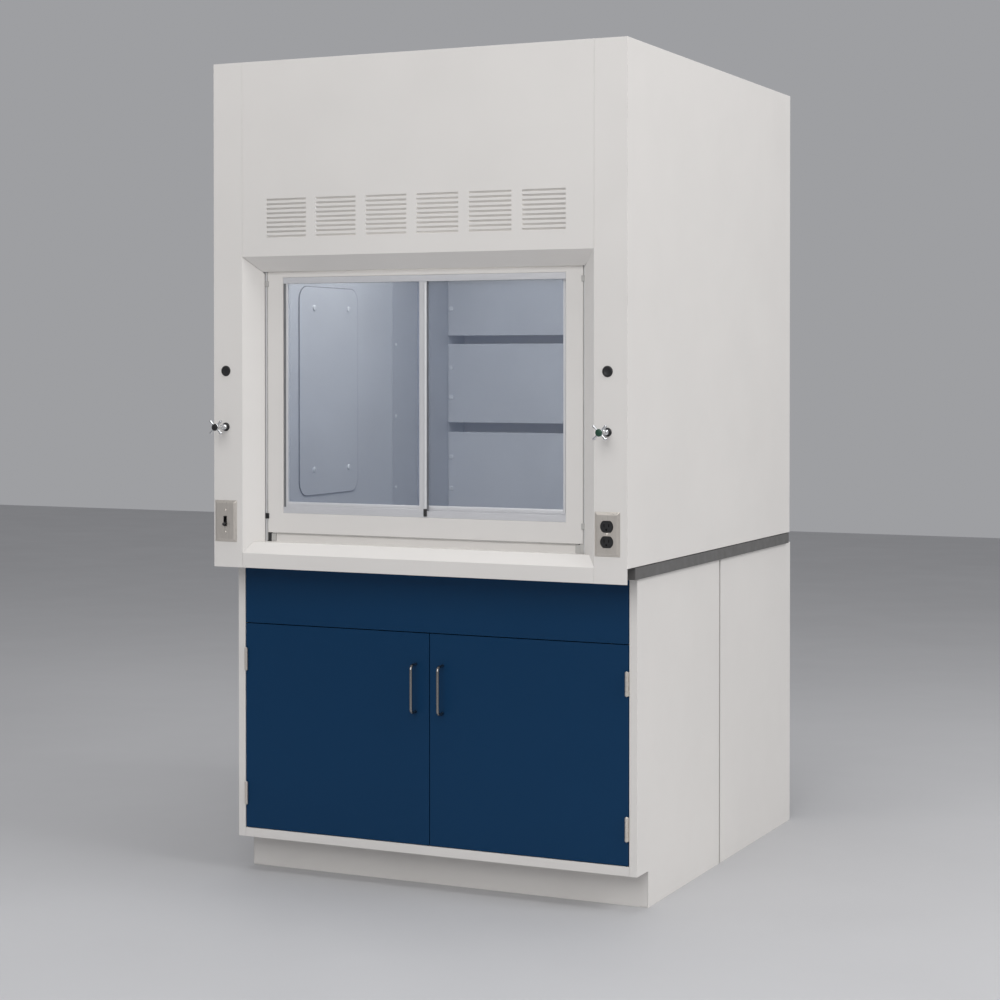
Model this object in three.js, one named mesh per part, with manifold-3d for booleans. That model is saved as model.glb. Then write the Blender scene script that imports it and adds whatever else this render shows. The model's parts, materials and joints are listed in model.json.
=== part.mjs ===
// A four-foot bench fume hood on a flammables base cabinet, in millimetres.
// X runs to the hood's right as its user faces it, Y runs to the back, Z is up.
// Inside this file y = 0 is the hood's front face. The last group moves everything
// so that the origin is on the floor, at the middle of the overall footprint.
import * as THREE from 'three';
import { mergeVertices } from 'three/addons/utils/BufferGeometryUtils.js';
import Module from 'manifold-3d';

const wasm = await Module();
wasm.setup();

// ---- Driving dimensions ----
const GAP = 0.3; // air between pieces that touch
const SHEET = 2; // folded steel sheet
const HALF_WIDTH = 609.6; // half of a 48 inch hood
const HOOD_BACK = 1350;
const HOOD_TOP = 2234;
const FASCIA_BOTTOM = 857;

const BASE_HALF = 596.5;
const BASE_FRONT = 104;
const BASE_TOP = 863;
const CABINET_BACK = 736;
const REAR_FRONT = 747;
const REAR_BACK = 1398;
const STILE = 22; // width of the cabinet's front edge
const TOE_HEIGHT = 96;
const TOE_DEPTH = 79;
const RAIL_TOP = 121; // top of the rail under the doors

const WORKTOP_THICK = 31.7;
const WORKTOP_TOP = BASE_TOP + GAP + WORKTOP_THICK;
const SIDE_BOTTOM = WORKTOP_TOP + SHEET;

const POST_WIDTH = 90.6; // flat front of a corner post
const POST_INNER = HALF_WIDTH - POST_WIDTH;
const BEVEL = 44; // the posts' slanted inner faces
const HEADER_BOTTOM = 1705; // where the header's slanted lip begins
const HEADER_BEVEL = 40;
// Plugs, valves and plates stand on one line up each post, by side.
const FIXTURE_LEFT = -571;
const FIXTURE_RIGHT = 556;
const fixtureX = (side) => (side < 0 ? FIXTURE_LEFT : FIXTURE_RIGHT);

const SILL_EDGE = 897; // top of the sill's front face
const SILL_SLOPE = 22;
const SILL_TOP = 927;
const SILL_BACK = 58;

const SASH_HALF = 468;
const SASH_FRONT = 50;
const SASH_BACK = 76;
const SASH_BOTTOM = 952;
const SASH_HEIGHT = 740;
const STILE_SASH = 48;
const RAIL_LOWER = 54;
const RAIL_UPPER = 43;
const PANE_OVERLAP = 16;

const LINER_X = 500; // inner face of the side liners
const LINER_THICK = 5;
const LINER_FRONT = 80;
const CEILING_Z = 2050;
const BAFFLE_Y = 1222;

const COLLAR_Y = 1180;
const COLLAR_RADIUS = 150;
const COLLAR_TOP = HOOD_TOP + 50;

const CABLE_X = 490;
const CABLE_Y = (SASH_FRONT + SASH_BACK) / 2;
const PULLEY_RADIUS = 28; // to the cable's centre line
const PULLEY_Z = 2190;

const HANDLE_REACH = 58; // how far the valve handles stand out

// ---- Materials ----
const paint = (color, roughness = 0.5, metalness = 0) =>
  new THREE.MeshStandardMaterial({ color, roughness, metalness });
const WHITE_PAINT = () => paint(0xd8d4cf, 0.45);
const BLUE_PAINT = () => paint(0x163454, 0.4);
const LINER_GREY = () => paint(0xb4bcc8, 0.6);
const EPOXY = () => paint(0x3a3a3c, 0.5);
const ALUMINIUM = () => paint(0xb4b6ba, 0.35, 0.9);
const STAINLESS = () => paint(0xa8a49c, 0.3, 0.9);
const CHROME = () => paint(0xd0d2d4, 0.12, 1);
const STEEL = () => paint(0x6a6c70, 0.5, 0.8);
const BLACK = () => paint(0x141414, 0.5);
const GLASS = () => {
  const glass = paint(0xb8c4d4, 0.05);
  glass.transparent = true;
  glass.opacity = 0.3;
  return glass;
};

// ---- Solid modelling helpers ----
const body = new THREE.Group();

function solid(geometry) {
  if (geometry.userData.solid) return geometry.userData.solid;
  const plain = geometry.clone();
  plain.deleteAttribute('normal');
  plain.deleteAttribute('uv');
  const merged = mergeVertices(plain, 1e-4);
  return new wasm.Manifold(new wasm.Mesh({
    numProp: 3,
    vertProperties: new Float32Array(merged.attributes.position.array),
    triVerts: new Uint32Array(merged.index.array),
  }));
}

function geometryOf(shape) {
  const mesh = shape.getMesh();
  const geometry = new THREE.BufferGeometry();
  geometry.setAttribute('position', new THREE.BufferAttribute(mesh.vertProperties, 3));
  geometry.setIndex(new THREE.BufferAttribute(mesh.triVerts, 1));
  geometry.userData.solid = shape;
  return geometry;
}

function join(...geometries) {
  return geometryOf(geometries.map(solid).reduce((whole, next) => whole.add(next)));
}

function cut(geometry, ...tools) {
  return geometryOf(tools.map(solid).reduce((whole, tool) => whole.subtract(tool), solid(geometry)));
}

function keep(geometry, tool) {
  return geometryOf(solid(geometry).intersect(solid(tool)));
}

function place(name, geometry, material) {
  const mesh = new THREE.Mesh(geometry, material);
  mesh.name = name;
  body.add(mesh);
}

function box([x0, x1], [y0, y1], [z0, z1]) {
  const geometry = new THREE.BoxGeometry(Math.abs(x1 - x0), Math.abs(y1 - y0), Math.abs(z1 - z0));
  return geometry.translate((x0 + x1) / 2, (y0 + y1) / 2, (z0 + z1) / 2);
}

function outline(points, holes = []) {
  const toVectors = (list) => list.map(([u, v]) => new THREE.Vector2(u, v));
  const shape = new THREE.Shape(toVectors(points));
  shape.holes = holes.map((hole) => new THREE.Path(toVectors(hole)));
  return shape;
}

const AXES = {
  X: [[0, 1, 0], [0, 0, 1], [1, 0, 0]],
  Y: [[1, 0, 0], [0, 0, 1], [0, -1, 0]],
  Z: [[1, 0, 0], [0, 1, 0], [0, 0, 1]],
};

// Extrudes an outline along an axis. The outline is drawn in the other two axes, in X, Y, Z order.
function prism(axis, [from, to], points, holes = []) {
  const low = Math.min(from, to);
  const high = Math.max(from, to);
  const shape = outline(points, holes);
  const geometry = new THREE.ExtrudeGeometry(shape, { depth: high - low, bevelEnabled: false });
  const [u, v, w] = AXES[axis].map((a) => new THREE.Vector3(...a));
  geometry.applyMatrix4(new THREE.Matrix4().makeBasis(u, v, w));
  const start = axis === 'Y' ? high : low;
  return geometry.translate(...['X', 'Y', 'Z'].map((a) => (a === axis ? start : 0)));
}

// Turns a folded sheet's outer line into a closed outline, its thickness to the line's left.
function folded(path, thickness = SHEET) {
  const points = path.map(([u, v]) => new THREE.Vector2(u, v));
  const normals = points.slice(1).map((point, i) => {
    const along = point.clone().sub(points[i]).normalize();
    return new THREE.Vector2(-along.y, along.x);
  });
  const inner = points.map((point, i) => {
    const before = normals[Math.max(i - 1, 0)];
    const after = normals[Math.min(i, normals.length - 1)];
    const mitre = before.clone().add(after).normalize();
    return point.clone().addScaledVector(mitre, thickness / mitre.dot(after));
  });
  return [...points, ...inner.reverse()].map(({ x, y }) => [x, y]);
}

const mirrored = (points, side) => points.map(([x, y]) => [side * x, y]);
const across = (side, x0, x1) => [side * x0, side * x1];
const rectangle = (u0, u1, v0, v1) => [[u0, v0], [u1, v0], [u1, v1], [u0, v1]];

function rod([x0, y0, z0], [x1, y1, z1], radius, sides = 16) {
  const start = new THREE.Vector3(x0, y0, z0);
  const end = new THREE.Vector3(x1, y1, z1);
  const along = end.clone().sub(start);
  const geometry = new THREE.CylinderGeometry(radius, radius, along.length(), sides);
  const turn = new THREE.Quaternion().setFromUnitVectors(
    new THREE.Vector3(0, 1, 0), along.normalize());
  geometry.applyQuaternion(turn);
  return geometry.translate(...start.add(end).multiplyScalar(0.5).toArray());
}

// A turned piece whose axis runs along Y through (x, z). The profile is [radius, y] pairs.
function turnedAlongY(profile, x, z, sides = 24) {
  const points = profile.map(([radius, y]) => new THREE.Vector2(radius, y));
  return new THREE.LatheGeometry(points, sides).translate(x, 0, z);
}

function turnedAlongZ(profile, x, y, sides) {
  const points = profile.map(([radius, z]) => new THREE.Vector2(radius, z));
  return new THREE.LatheGeometry(points, sides).rotateX(Math.PI / 2).translate(x, y, 0);
}

function circle(x, y, radius, sides) {
  return Array.from({ length: sides }, (_, i) => {
    const angle = (2 * Math.PI * i) / sides;
    return [x + radius * Math.cos(angle), y + radius * Math.sin(angle)];
  });
}

function roundedRectangle(u0, u1, v0, v1, radius, steps = 5) {
  const corners = [[u1 - radius, v1 - radius], [u0 + radius, v1 - radius],
    [u0 + radius, v0 + radius], [u1 - radius, v0 + radius]];
  return corners.flatMap(([u, v], quarter) => Array.from({ length: steps + 1 }, (_, i) => {
    const angle = (Math.PI / 2) * (quarter + i / steps);
    return [u + radius * Math.cos(angle), v + radius * Math.sin(angle)];
  }));
}

const SIDES = [['left', -1], ['right', 1]];

// ---- Base cabinet ----
const CABINET_INNER = BASE_HALF - STILE; // inner face of the side's front edge
const EDGE_RETURN = 26; // how far the side's front edge folds back into the cabinet

// The flat foot that closes a side panel's bottom, let into its walls by half their thickness.
function cabinetFoot(side, front, back) {
  return box(across(side, CABINET_INNER + 1, BASE_HALF - 1), [front + 1, back - 1], [0, SHEET]);
}

// Each side is a C-shaped folded panel: outer skin, front edge with a return, and back flange.
function baseSide(side) {
  const path = [[CABINET_INNER, BASE_FRONT + EDGE_RETURN], [CABINET_INNER, BASE_FRONT],
    [BASE_HALF, BASE_FRONT], [BASE_HALF, CABINET_BACK], [CABINET_INNER, CABINET_BACK]];
  const wall = prism('Z', [0, BASE_TOP], mirrored(folded(path), side));
  const foot = cabinetFoot(side, BASE_FRONT + TOE_DEPTH - 1, CABINET_BACK);
  const toeNotch = box(across(side, CABINET_INNER - 5, BASE_HALF + 5),
    [BASE_FRONT - 5, BASE_FRONT + TOE_DEPTH], [-5, TOE_HEIGHT]);
  return cut(join(wall, foot), toeNotch);
}

// The floor is a shallow spill basin folded into the rail under the doors.
function cabinetFloor() {
  const half = CABINET_INNER - GAP;
  const basin = TOE_HEIGHT + 10 + SHEET;
  const ledge = BASE_FRONT + 24;
  const underside = ledge + 6;
  const back = CABINET_BACK - 26;
  const path = [[underside, TOE_HEIGHT], [BASE_FRONT, TOE_HEIGHT], [BASE_FRONT, RAIL_TOP],
    [ledge, RAIL_TOP], [ledge, basin], [back, basin], [back, RAIL_TOP]];
  return prism('X', [-half, half], folded(path, -SHEET));
}

function toeKick() {
  const half = BASE_HALF - SHEET - GAP;
  const face = BASE_FRONT + TOE_DEPTH;
  const reach = CABINET_INNER - GAP;
  const board = box([-reach, reach], [face, face + SHEET], [0, TOE_HEIGHT - GAP]);
  const ends = SIDES.map(([, side]) => box(across(side, reach - 1, half),
    [face, face + SHEET], [SHEET + GAP, TOE_HEIGHT - GAP]));
  return join(board, ...ends);
}

function cabinetBack() {
  const half = CABINET_INNER - GAP;
  const face = CABINET_BACK - 20;
  return box([-half, half], [face, face + SHEET], [0, BASE_TOP]);
}

const SHELF_Z = 405;
function shelf() {
  const half = CABINET_INNER - 4;
  const front = BASE_FRONT + 60;
  const back = CABINET_BACK - 40;
  const lip = SHELF_Z - 25;
  const hem = 12;
  const path = [[front + hem, lip], [front, lip], [front, SHELF_Z],
    [back, SHELF_Z], [back, lip], [back - hem, lip]];
  return prism('X', [-half, half], folded(path, -SHEET));
}

const DOOR_THICK = 19;
const DOOR_OUTER = CABINET_INNER - 2.2;
const DOOR_INNER = 1.2;
const DOOR_BOTTOM = RAIL_TOP + 2;
const DOOR_TOP = 691.5;
const APRON_BOTTOM = 694;

// A door or apron is a pan: a front skin with flanges turned back all round.
function pan([x0, x1], [z0, z1]) {
  const back = BASE_FRONT + DOOR_THICK;
  const low = Math.min(x0, x1);
  const high = Math.max(x0, x1);
  return cut(box([x0, x1], [BASE_FRONT, back], [z0, z1]),
    box([low + SHEET, high - SHEET], [BASE_FRONT + SHEET, back + 5], [z0 + SHEET, z1 - SHEET]));
}

const PULL_X = 40;
const PULL_LOW = 480;
const PULL_HIGH = 608;
const PULL_WIRE = 4;
const PULL_STANDOFF = 31;

function pull(side) {
  const x = side * PULL_X;
  const foot = BASE_FRONT - GAP;
  const grip = BASE_FRONT - PULL_STANDOFF;
  const bend = 14;
  const at = (y, z) => new THREE.Vector3(x, y, z);
  const path = new THREE.CurvePath();
  path.add(new THREE.LineCurve3(at(foot, PULL_LOW), at(grip + bend, PULL_LOW)));
  path.add(new THREE.QuadraticBezierCurve3(at(grip + bend, PULL_LOW), at(grip, PULL_LOW),
    at(grip, PULL_LOW + bend)));
  path.add(new THREE.LineCurve3(at(grip, PULL_LOW + bend), at(grip, PULL_HIGH - bend)));
  path.add(new THREE.QuadraticBezierCurve3(at(grip, PULL_HIGH - bend), at(grip, PULL_HIGH),
    at(grip + bend, PULL_HIGH)));
  path.add(new THREE.LineCurve3(at(grip + bend, PULL_HIGH), at(foot, PULL_HIGH)));
  return new THREE.ExtrudeGeometry(outline(circle(0, 0, PULL_WIRE, 12)),
    { steps: 34, bevelEnabled: false, extrudePath: path });
}

const HINGE_X = CABINET_INNER - 5.5;
const HINGE_RADIUS = 4.8;
const HINGE_Y = BASE_FRONT - GAP - HINGE_RADIUS;
const HINGE_LENGTH = 62;
const HINGE_HEIGHTS = [['upper', 592], ['lower', 218]];
const LEAF = 1.4;

// The pin, its knuckles and the leaf that is fixed to the cabinet side.
function hinge(side, z) {
  const low = z - HINGE_LENGTH / 2;
  const high = z + HINGE_LENGTH / 2;
  const x = side * HINGE_X;
  return join(rod([x, HINGE_Y, low], [x, HINGE_Y, high], HINGE_RADIUS, 20),
    box(across(side, CABINET_INNER - GAP - LEAF, CABINET_INNER - GAP),
      [HINGE_Y, BASE_FRONT + EDGE_RETURN], [low, high]));
}

// The cover panels behind the cabinet close the service space under the worktop.
function rearPanel(side) {
  const path = [[CABINET_INNER, REAR_FRONT], [BASE_HALF, REAR_FRONT], [BASE_HALF, REAR_BACK],
    [CABINET_INNER, REAR_BACK]];
  const wall = prism('Z', [0, BASE_TOP], mirrored(folded(path), side));
  const foot = cabinetFoot(side, REAR_FRONT, REAR_BACK);
  return join(wall, foot);
}

for (const [name, side] of SIDES) {
  place(`base_side_${name}`, baseSide(side), WHITE_PAINT());
  place(`rear_panel_${name}`, rearPanel(side), WHITE_PAINT());
  place(`door_${name}`, pan(across(side, DOOR_INNER, DOOR_OUTER), [DOOR_BOTTOM, DOOR_TOP]),
    BLUE_PAINT());
  place(`pull_${name}`, pull(side), CHROME());
  for (const [height, z] of HINGE_HEIGHTS) {
    place(`hinge_${height}_${name}`, hinge(side, z), STAINLESS());
  }
}
place('cabinet_floor', cabinetFloor(), WHITE_PAINT());
place('toe_kick', toeKick(), WHITE_PAINT());
place('cabinet_back', cabinetBack(), WHITE_PAINT());
place('shelf', shelf(), WHITE_PAINT());
place('apron', pan([-DOOR_OUTER, DOOR_OUTER], [APRON_BOTTOM, BASE_TOP - 1]), BLUE_PAINT());

// ---- Worktop and airfoil sill ----
function worktop() {
  const half = HALF_WIDTH - 1.6;
  const dish = 8;
  const margin = 30; // from the side linings
  const front = 130;
  const back = BAFFLE_Y - 40;
  const slab = box([-half, half], [SILL_BACK + 4, HOOD_BACK], [BASE_TOP + GAP, WORKTOP_TOP]);
  const basin = prism('Z', [WORKTOP_TOP - dish, WORKTOP_TOP + 5],
    roundedRectangle(-LINER_X + margin, LINER_X - margin, front, back, 25));
  return cut(slab, basin);
}

const SILL_OUTSIDE = [[BASE_FRONT - 4, FASCIA_BOTTOM], [0, FASCIA_BOTTOM], [0, SILL_EDGE],
  [SILL_SLOPE, SILL_TOP], [SILL_BACK, SILL_TOP], [SILL_BACK, SILL_TOP - 12]];
const RISER_HALF = 445;
const RISER_TOP = SASH_BOTTOM - 3;

function airfoilSill() {
  const half = POST_INNER - GAP;
  return join(prism('X', [-half, half], folded(SILL_OUTSIDE, -SHEET)),
    box([-RISER_HALF, RISER_HALF], [SILL_BACK - SHEET, SILL_BACK], [SILL_TOP - 1, RISER_TOP]));
}

place('worktop', worktop(), EPOXY());
place('airfoil_sill', airfoilSill(), WHITE_PAINT());

// ---- Outer shell of the hood ----
const PLUG_Z = 1394;
const PLUG_HOLE = 13;
const VALVE_Z = 1241;
const VALVE_HOLE = 9.5;
const PLATE_Z = 983;

function cornerPost(side) {
  const inner = POST_INNER - BEVEL;
  const path = [[HALF_WIDTH, 0], [POST_INNER, 0], [inner, BEVEL], [inner, BEVEL + 3]];
  const sheet = prism('Z', [FASCIA_BOTTOM, HOOD_TOP], mirrored(folded(path, -SHEET), side));
  const bevelSpan = across(side, inner - 5, POST_INNER);
  const aboveMitre = prism('X', bevelSpan, [[-1, HEADER_BOTTOM + 1 - GAP],
    [BEVEL + 9, HEADER_BOTTOM - BEVEL - 9 - GAP], [BEVEL + 9, HOOD_TOP + 5], [-1, HOOD_TOP + 5]]);
  const belowSill = prism('X', bevelSpan, [[-1, FASCIA_BOTTOM - 5], [-1, SILL_EDGE + GAP],
    [0, SILL_EDGE + GAP], [SILL_SLOPE, SILL_TOP + GAP], [BEVEL + 9, SILL_TOP + GAP],
    [BEVEL + 9, FASCIA_BOTTOM - 5]]);
  const insideFold = box(across(side, POST_INNER - 1, POST_INNER + 3), [SHEET, BEVEL],
    [HEADER_BOTTOM, HOOD_TOP + 5]);
  const x = fixtureX(side);
  const drill = (z, radius) => rod([x, -5, z], [x, 8, z], radius, 24);
  const boxCutout = box([x - 25, x + 25], [-5, 8], [PLATE_Z - 38, PLATE_Z + 38]);
  return cut(sheet, aboveMitre, belowSill, insideFold, drill(PLUG_Z, PLUG_HOLE),
    drill(VALVE_Z, VALVE_HOLE), boxCutout);
}

const LOUVRE_GROUPS = 6;
const LOUVRE_ROWS = 9;
const LOUVRE_PITCH_X = 152;
const LOUVRE_PITCH_Z = 12.4;
const LOUVRE_LENGTH = 122;
const LOUVRE_SLOT = 5.5;
const LOUVRE_MIDDLE_Z = 1808;

function louvreTools() {
  const tools = [];
  for (let group = 0; group < LOUVRE_GROUPS; group += 1) {
    const x = (group - (LOUVRE_GROUPS - 1) / 2) * LOUVRE_PITCH_X;
    for (let row = 0; row < LOUVRE_ROWS; row += 1) {
      const z = LOUVRE_MIDDLE_Z + (row - (LOUVRE_ROWS - 1) / 2) * LOUVRE_PITCH_Z;
      tools.push(box([x - LOUVRE_LENGTH / 2, x + LOUVRE_LENGTH / 2], [-5, SHEET + 5],
        [z - LOUVRE_SLOT / 2, z + LOUVRE_SLOT / 2]));
    }
  }
  return tools;
}

// The header is flat and louvred, with a lip that slants back to the sash. The lip's ends
// are mitred to the posts' slanted faces.
function headerPanel() {
  const half = POST_INNER - GAP;
  const face = cut(box([-half, half], [0, SHEET], [HEADER_BOTTOM, HOOD_TOP]), ...louvreTools());
  const lipPath = [[0, HEADER_BOTTOM + 6], [0, HEADER_BOTTOM],
    [HEADER_BEVEL, HEADER_BOTTOM - HEADER_BEVEL],
    [HEADER_BEVEL + 4, HEADER_BOTTOM - HEADER_BEVEL]];
  const lip = prism('X', [-half, half], folded(lipPath));
  const ends = SIDES.map(([, side]) => prism('Z', [HEADER_BOTTOM - 60, HEADER_BOTTOM],
    mirrored([[half, 0], [half - 60, 60], [half + 9, 60], [half + 9, 0]], side)));
  return join(face, cut(lip, ...ends));
}

function hoodSide(side) {
  return box(across(side, HALF_WIDTH - SHEET, HALF_WIDTH), [SHEET + GAP, HOOD_BACK],
    [SIDE_BOTTOM, HOOD_TOP]);
}

const SHELL_HALF = HALF_WIDTH - SHEET - GAP;

function roofPanel() {
  return prism('Z', [HOOD_TOP - SHEET, HOOD_TOP],
    rectangle(-SHELL_HALF, SHELL_HALF, SHEET + GAP, HOOD_BACK),
    [circle(0, COLLAR_Y, COLLAR_RADIUS + 3, 48)]);
}

function backPanel() {
  return box([-SHELL_HALF, SHELL_HALF], [HOOD_BACK - SHEET, HOOD_BACK],
    [SIDE_BOTTOM, HOOD_TOP - SHEET - GAP]);
}

function exhaustCollar() {
  const wall = 2.5;
  const outer = COLLAR_RADIUS + wall;
  const flange = HOOD_TOP + GAP;
  const profile = [[COLLAR_RADIUS, CEILING_Z + LINER_THICK + GAP],
    [outer, CEILING_Z + LINER_THICK + GAP], [outer, flange], [COLLAR_RADIUS + 35, flange],
    [COLLAR_RADIUS + 35, flange + SHEET], [outer, flange + SHEET], [outer, COLLAR_TOP],
    [COLLAR_RADIUS, COLLAR_TOP], [COLLAR_RADIUS, CEILING_Z + LINER_THICK + GAP]];
  return turnedAlongZ(profile, 0, COLLAR_Y, 48);
}

for (const [name, side] of SIDES) {
  place(`corner_post_${name}`, cornerPost(side), WHITE_PAINT());
  place(`side_panel_${name}`, hoodSide(side), WHITE_PAINT());
}
place('header_panel', headerPanel(), WHITE_PAINT());
place('roof_panel', roofPanel(), WHITE_PAINT());
place('back_panel', backPanel(), WHITE_PAINT());
place('exhaust_collar', exhaustCollar(), STAINLESS());

// ---- Lining of the work chamber ----
const ACCESS_Y = [272, 614];
const ACCESS_Z = [1037, 1634];

function sideLiner(side) {
  const lapped = 25; // the access panel laps the opening by this much
  const opening = roundedRectangle(ACCESS_Y[0] + lapped, ACCESS_Y[1] - lapped,
    ACCESS_Z[0] + lapped, ACCESS_Z[1] - lapped, 30);
  return prism('X', across(side, LINER_X, LINER_X + LINER_THICK),
    rectangle(LINER_FRONT, HOOD_BACK - SHEET - GAP, WORKTOP_TOP + GAP, CEILING_Z - GAP), [opening]);
}

function accessPanel(side) {
  return prism('X', across(side, LINER_X - GAP - 3, LINER_X - GAP),
    roundedRectangle(...ACCESS_Y, ...ACCESS_Z, 40));
}

const LAMP_HALF = 400;
const LAMP_Y = [300, 460];

function ceilingPanel() {
  const half = LINER_X + LINER_THICK;
  return prism('Z', [CEILING_Z, CEILING_Z + LINER_THICK],
    rectangle(-half, half, LINER_FRONT + 15, HOOD_BACK - SHEET - GAP),
    [circle(0, COLLAR_Y, COLLAR_RADIUS, 48), rectangle(-LAMP_HALF, LAMP_HALF, ...LAMP_Y)]);
}

function lightLens() {
  const lap = 20;
  const low = CEILING_Z + LINER_THICK + GAP;
  return box([-LAMP_HALF - lap, LAMP_HALF + lap], [LAMP_Y[0] - lap, LAMP_Y[1] + lap],
    [low, low + 6]);
}

const SLOT_LOWER = [1194, 1225];
const SLOT_UPPER = [1478, 1505];
const BAFFLE_HALF = LINER_X - 2;

function flatBaffle(low, high) {
  return box([-BAFFLE_HALF, BAFFLE_HALF], [BAFFLE_Y, BAFFLE_Y + LINER_THICK], [low, high]);
}

// The upper baffle leans forward over the chamber to lead air to the collar.
function upperBaffle() {
  const path = [[BAFFLE_Y, SLOT_UPPER[1]], [BAFFLE_Y, 1750], [990, 1985]];
  return prism('X', [-BAFFLE_HALF, BAFFLE_HALF], folded(path, -LINER_THICK));
}

for (const [name, side] of SIDES) {
  place(`liner_${name}`, sideLiner(side), LINER_GREY());
  place(`access_panel_${name}`, accessPanel(side), LINER_GREY());
}
place('ceiling_panel', ceilingPanel(), LINER_GREY());
place('light_lens', lightLens(), GLASS());
place('baffle_lower', flatBaffle(WORKTOP_TOP + 30, SLOT_LOWER[0]), LINER_GREY());
place('baffle_middle', flatBaffle(SLOT_LOWER[1], SLOT_UPPER[0]), LINER_GREY());
place('baffle_upper', upperBaffle(), LINER_GREY());

// ---- Sash guides and counterbalance ----
const TRACK_INNER = SASH_HALF + 3;
const TRACK_WEB = 502;
const TRACK_TOP = 2145;
const PLATE_BOTTOM = TRACK_TOP - 7;
const PULLEY_X = CABLE_X + PULLEY_RADIUS;
const AXLE_RADIUS = 5;

// A vertical channel for the sash edge, with a plate at its top that carries the pulley's axle.
function sashTrack(side) {
  const path = [[TRACK_INNER, SASH_FRONT], [TRACK_WEB, SASH_FRONT], [TRACK_WEB, SASH_BACK],
    [TRACK_INNER, SASH_BACK]];
  const channel = prism('Z', [SILL_TOP + GAP, TRACK_TOP], mirrored(folded(path), side));
  const plate = box(across(side, TRACK_INNER + 7, PULLEY_X + 45), [SASH_BACK - SHEET, SASH_BACK],
    [PLATE_BOTTOM, HOOD_TOP - 6]);
  const x = side * PULLEY_X;
  const axleHole = rod([x, SASH_BACK - 10, PULLEY_Z], [x, SASH_BACK + 10, PULLEY_Z],
    AXLE_RADIUS + 0.6, 24);
  return cut(join(channel, plate), axleHole);
}

function sashStop(side) {
  return box(across(side, TRACK_INNER - 12, TRACK_INNER + 10),
    [SASH_FRONT + SHEET + GAP, SASH_BACK - SHEET - GAP], [SILL_TOP + GAP, SASH_BOTTOM - GAP]);
}

function pulley(side) {
  const half = 6;
  const rim = PULLEY_RADIUS + 4;
  const groove = PULLEY_RADIUS - 3.5;
  const afterPlate = SASH_BACK - CABLE_Y + 0.5;
  const profile = [[0, -half - 2], [AXLE_RADIUS, -half - 2], [AXLE_RADIUS, -half], [rim, -half],
    [rim, 2 - half], [groove, 3.5 - half], [groove, half - 3.5], [rim, half - 2], [rim, half],
    [AXLE_RADIUS, half], [AXLE_RADIUS, afterPlate], [9, afterPlate], [9, afterPlate + 4],
    [0, afterPlate + 4]];
  return turnedAlongY(profile.map(([radius, y]) => [radius, CABLE_Y + y]),
    side * PULLEY_X, PULLEY_Z, 32);
}

const WEIGHT_TOP = 2130;
const WEIGHT_HEIGHT = 335; // the two weights balance the sash
const WEIGHT_HALF_X = 21;
const WEIGHT_HALF_Y = 30;

function counterweight(side) {
  const middle = PULLEY_X + PULLEY_RADIUS;
  const section = roundedRectangle(middle - WEIGHT_HALF_X, middle + WEIGHT_HALF_X,
    CABLE_Y - WEIGHT_HALF_Y, CABLE_Y + WEIGHT_HALF_Y, 5, 2);
  return prism('Z', [WEIGHT_TOP - WEIGHT_HEIGHT, WEIGHT_TOP], mirrored(section, side));
}

const CABLE_RADIUS = 1.6;
const CABLE_FOOT = 985;

// The wire rope runs up inside the track, over the pulley and down to the counterweight.
function sashCable(side) {
  const at = (x, z) => new THREE.Vector3(side * x, CABLE_Y, z);
  const outer = PULLEY_X + PULLEY_RADIUS;
  const path = new THREE.CurvePath();
  path.add(new THREE.LineCurve3(at(CABLE_X, CABLE_FOOT), at(CABLE_X, PULLEY_Z)));
  const arcSteps = 8;
  const onArc = (i) => {
    const angle = Math.PI * (1 - i / arcSteps);
    return at(PULLEY_X + PULLEY_RADIUS * Math.cos(angle), PULLEY_Z + PULLEY_RADIUS * Math.sin(angle));
  };
  for (let i = 0; i < arcSteps; i += 1) {
    path.add(new THREE.LineCurve3(onArc(i), onArc(i + 1)));
  }
  path.add(new THREE.LineCurve3(at(outer, PULLEY_Z), at(outer, WEIGHT_TOP + GAP)));
  return new THREE.ExtrudeGeometry(outline(circle(0, 0, CABLE_RADIUS, 8)),
    { steps: 76, bevelEnabled: false, extrudePath: path });
}

for (const [name, side] of SIDES) {
  place(`sash_track_${name}`, sashTrack(side), ALUMINIUM());
  place(`sash_stop_${name}`, sashStop(side), BLACK());
  place(`pulley_${name}`, pulley(side), STEEL());
  place(`counterweight_${name}`, counterweight(side), STEEL());
  place(`sash_cable_${name}`, sashCable(side), STEEL());
}

// ---- Sash: a vertical frame that carries two panes on horizontal channels ----
const SASH_TOP = SASH_BOTTOM + SASH_HEIGHT;
const WINDOW_HALF = SASH_HALF - STILE_SASH;
const WINDOW_LOW = SASH_BOTTOM + RAIL_LOWER;
const WINDOW_HIGH = SASH_TOP - RAIL_UPPER;

// The frame is pressed steel, so its back is an open groove.
function sashFrame() {
  const window = (grow) => rectangle(-WINDOW_HALF - grow, WINDOW_HALF + grow,
    WINDOW_LOW - grow, WINDOW_HIGH + grow);
  const edge = (shrink) => rectangle(-SASH_HALF + shrink, SASH_HALF - shrink,
    SASH_BOTTOM + shrink, SASH_TOP - shrink);
  return cut(prism('Y', [SASH_FRONT, SASH_BACK], edge(0), [window(0)]),
    prism('Y', [SASH_FRONT + SHEET, SASH_BACK + 5], edge(SHEET), [window(SHEET)]));
}

const WALL_YS = [SASH_FRONT + 1, CABLE_Y - 1, SASH_BACK - 3]; // near faces of the three walls
const WALL = 2;

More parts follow.
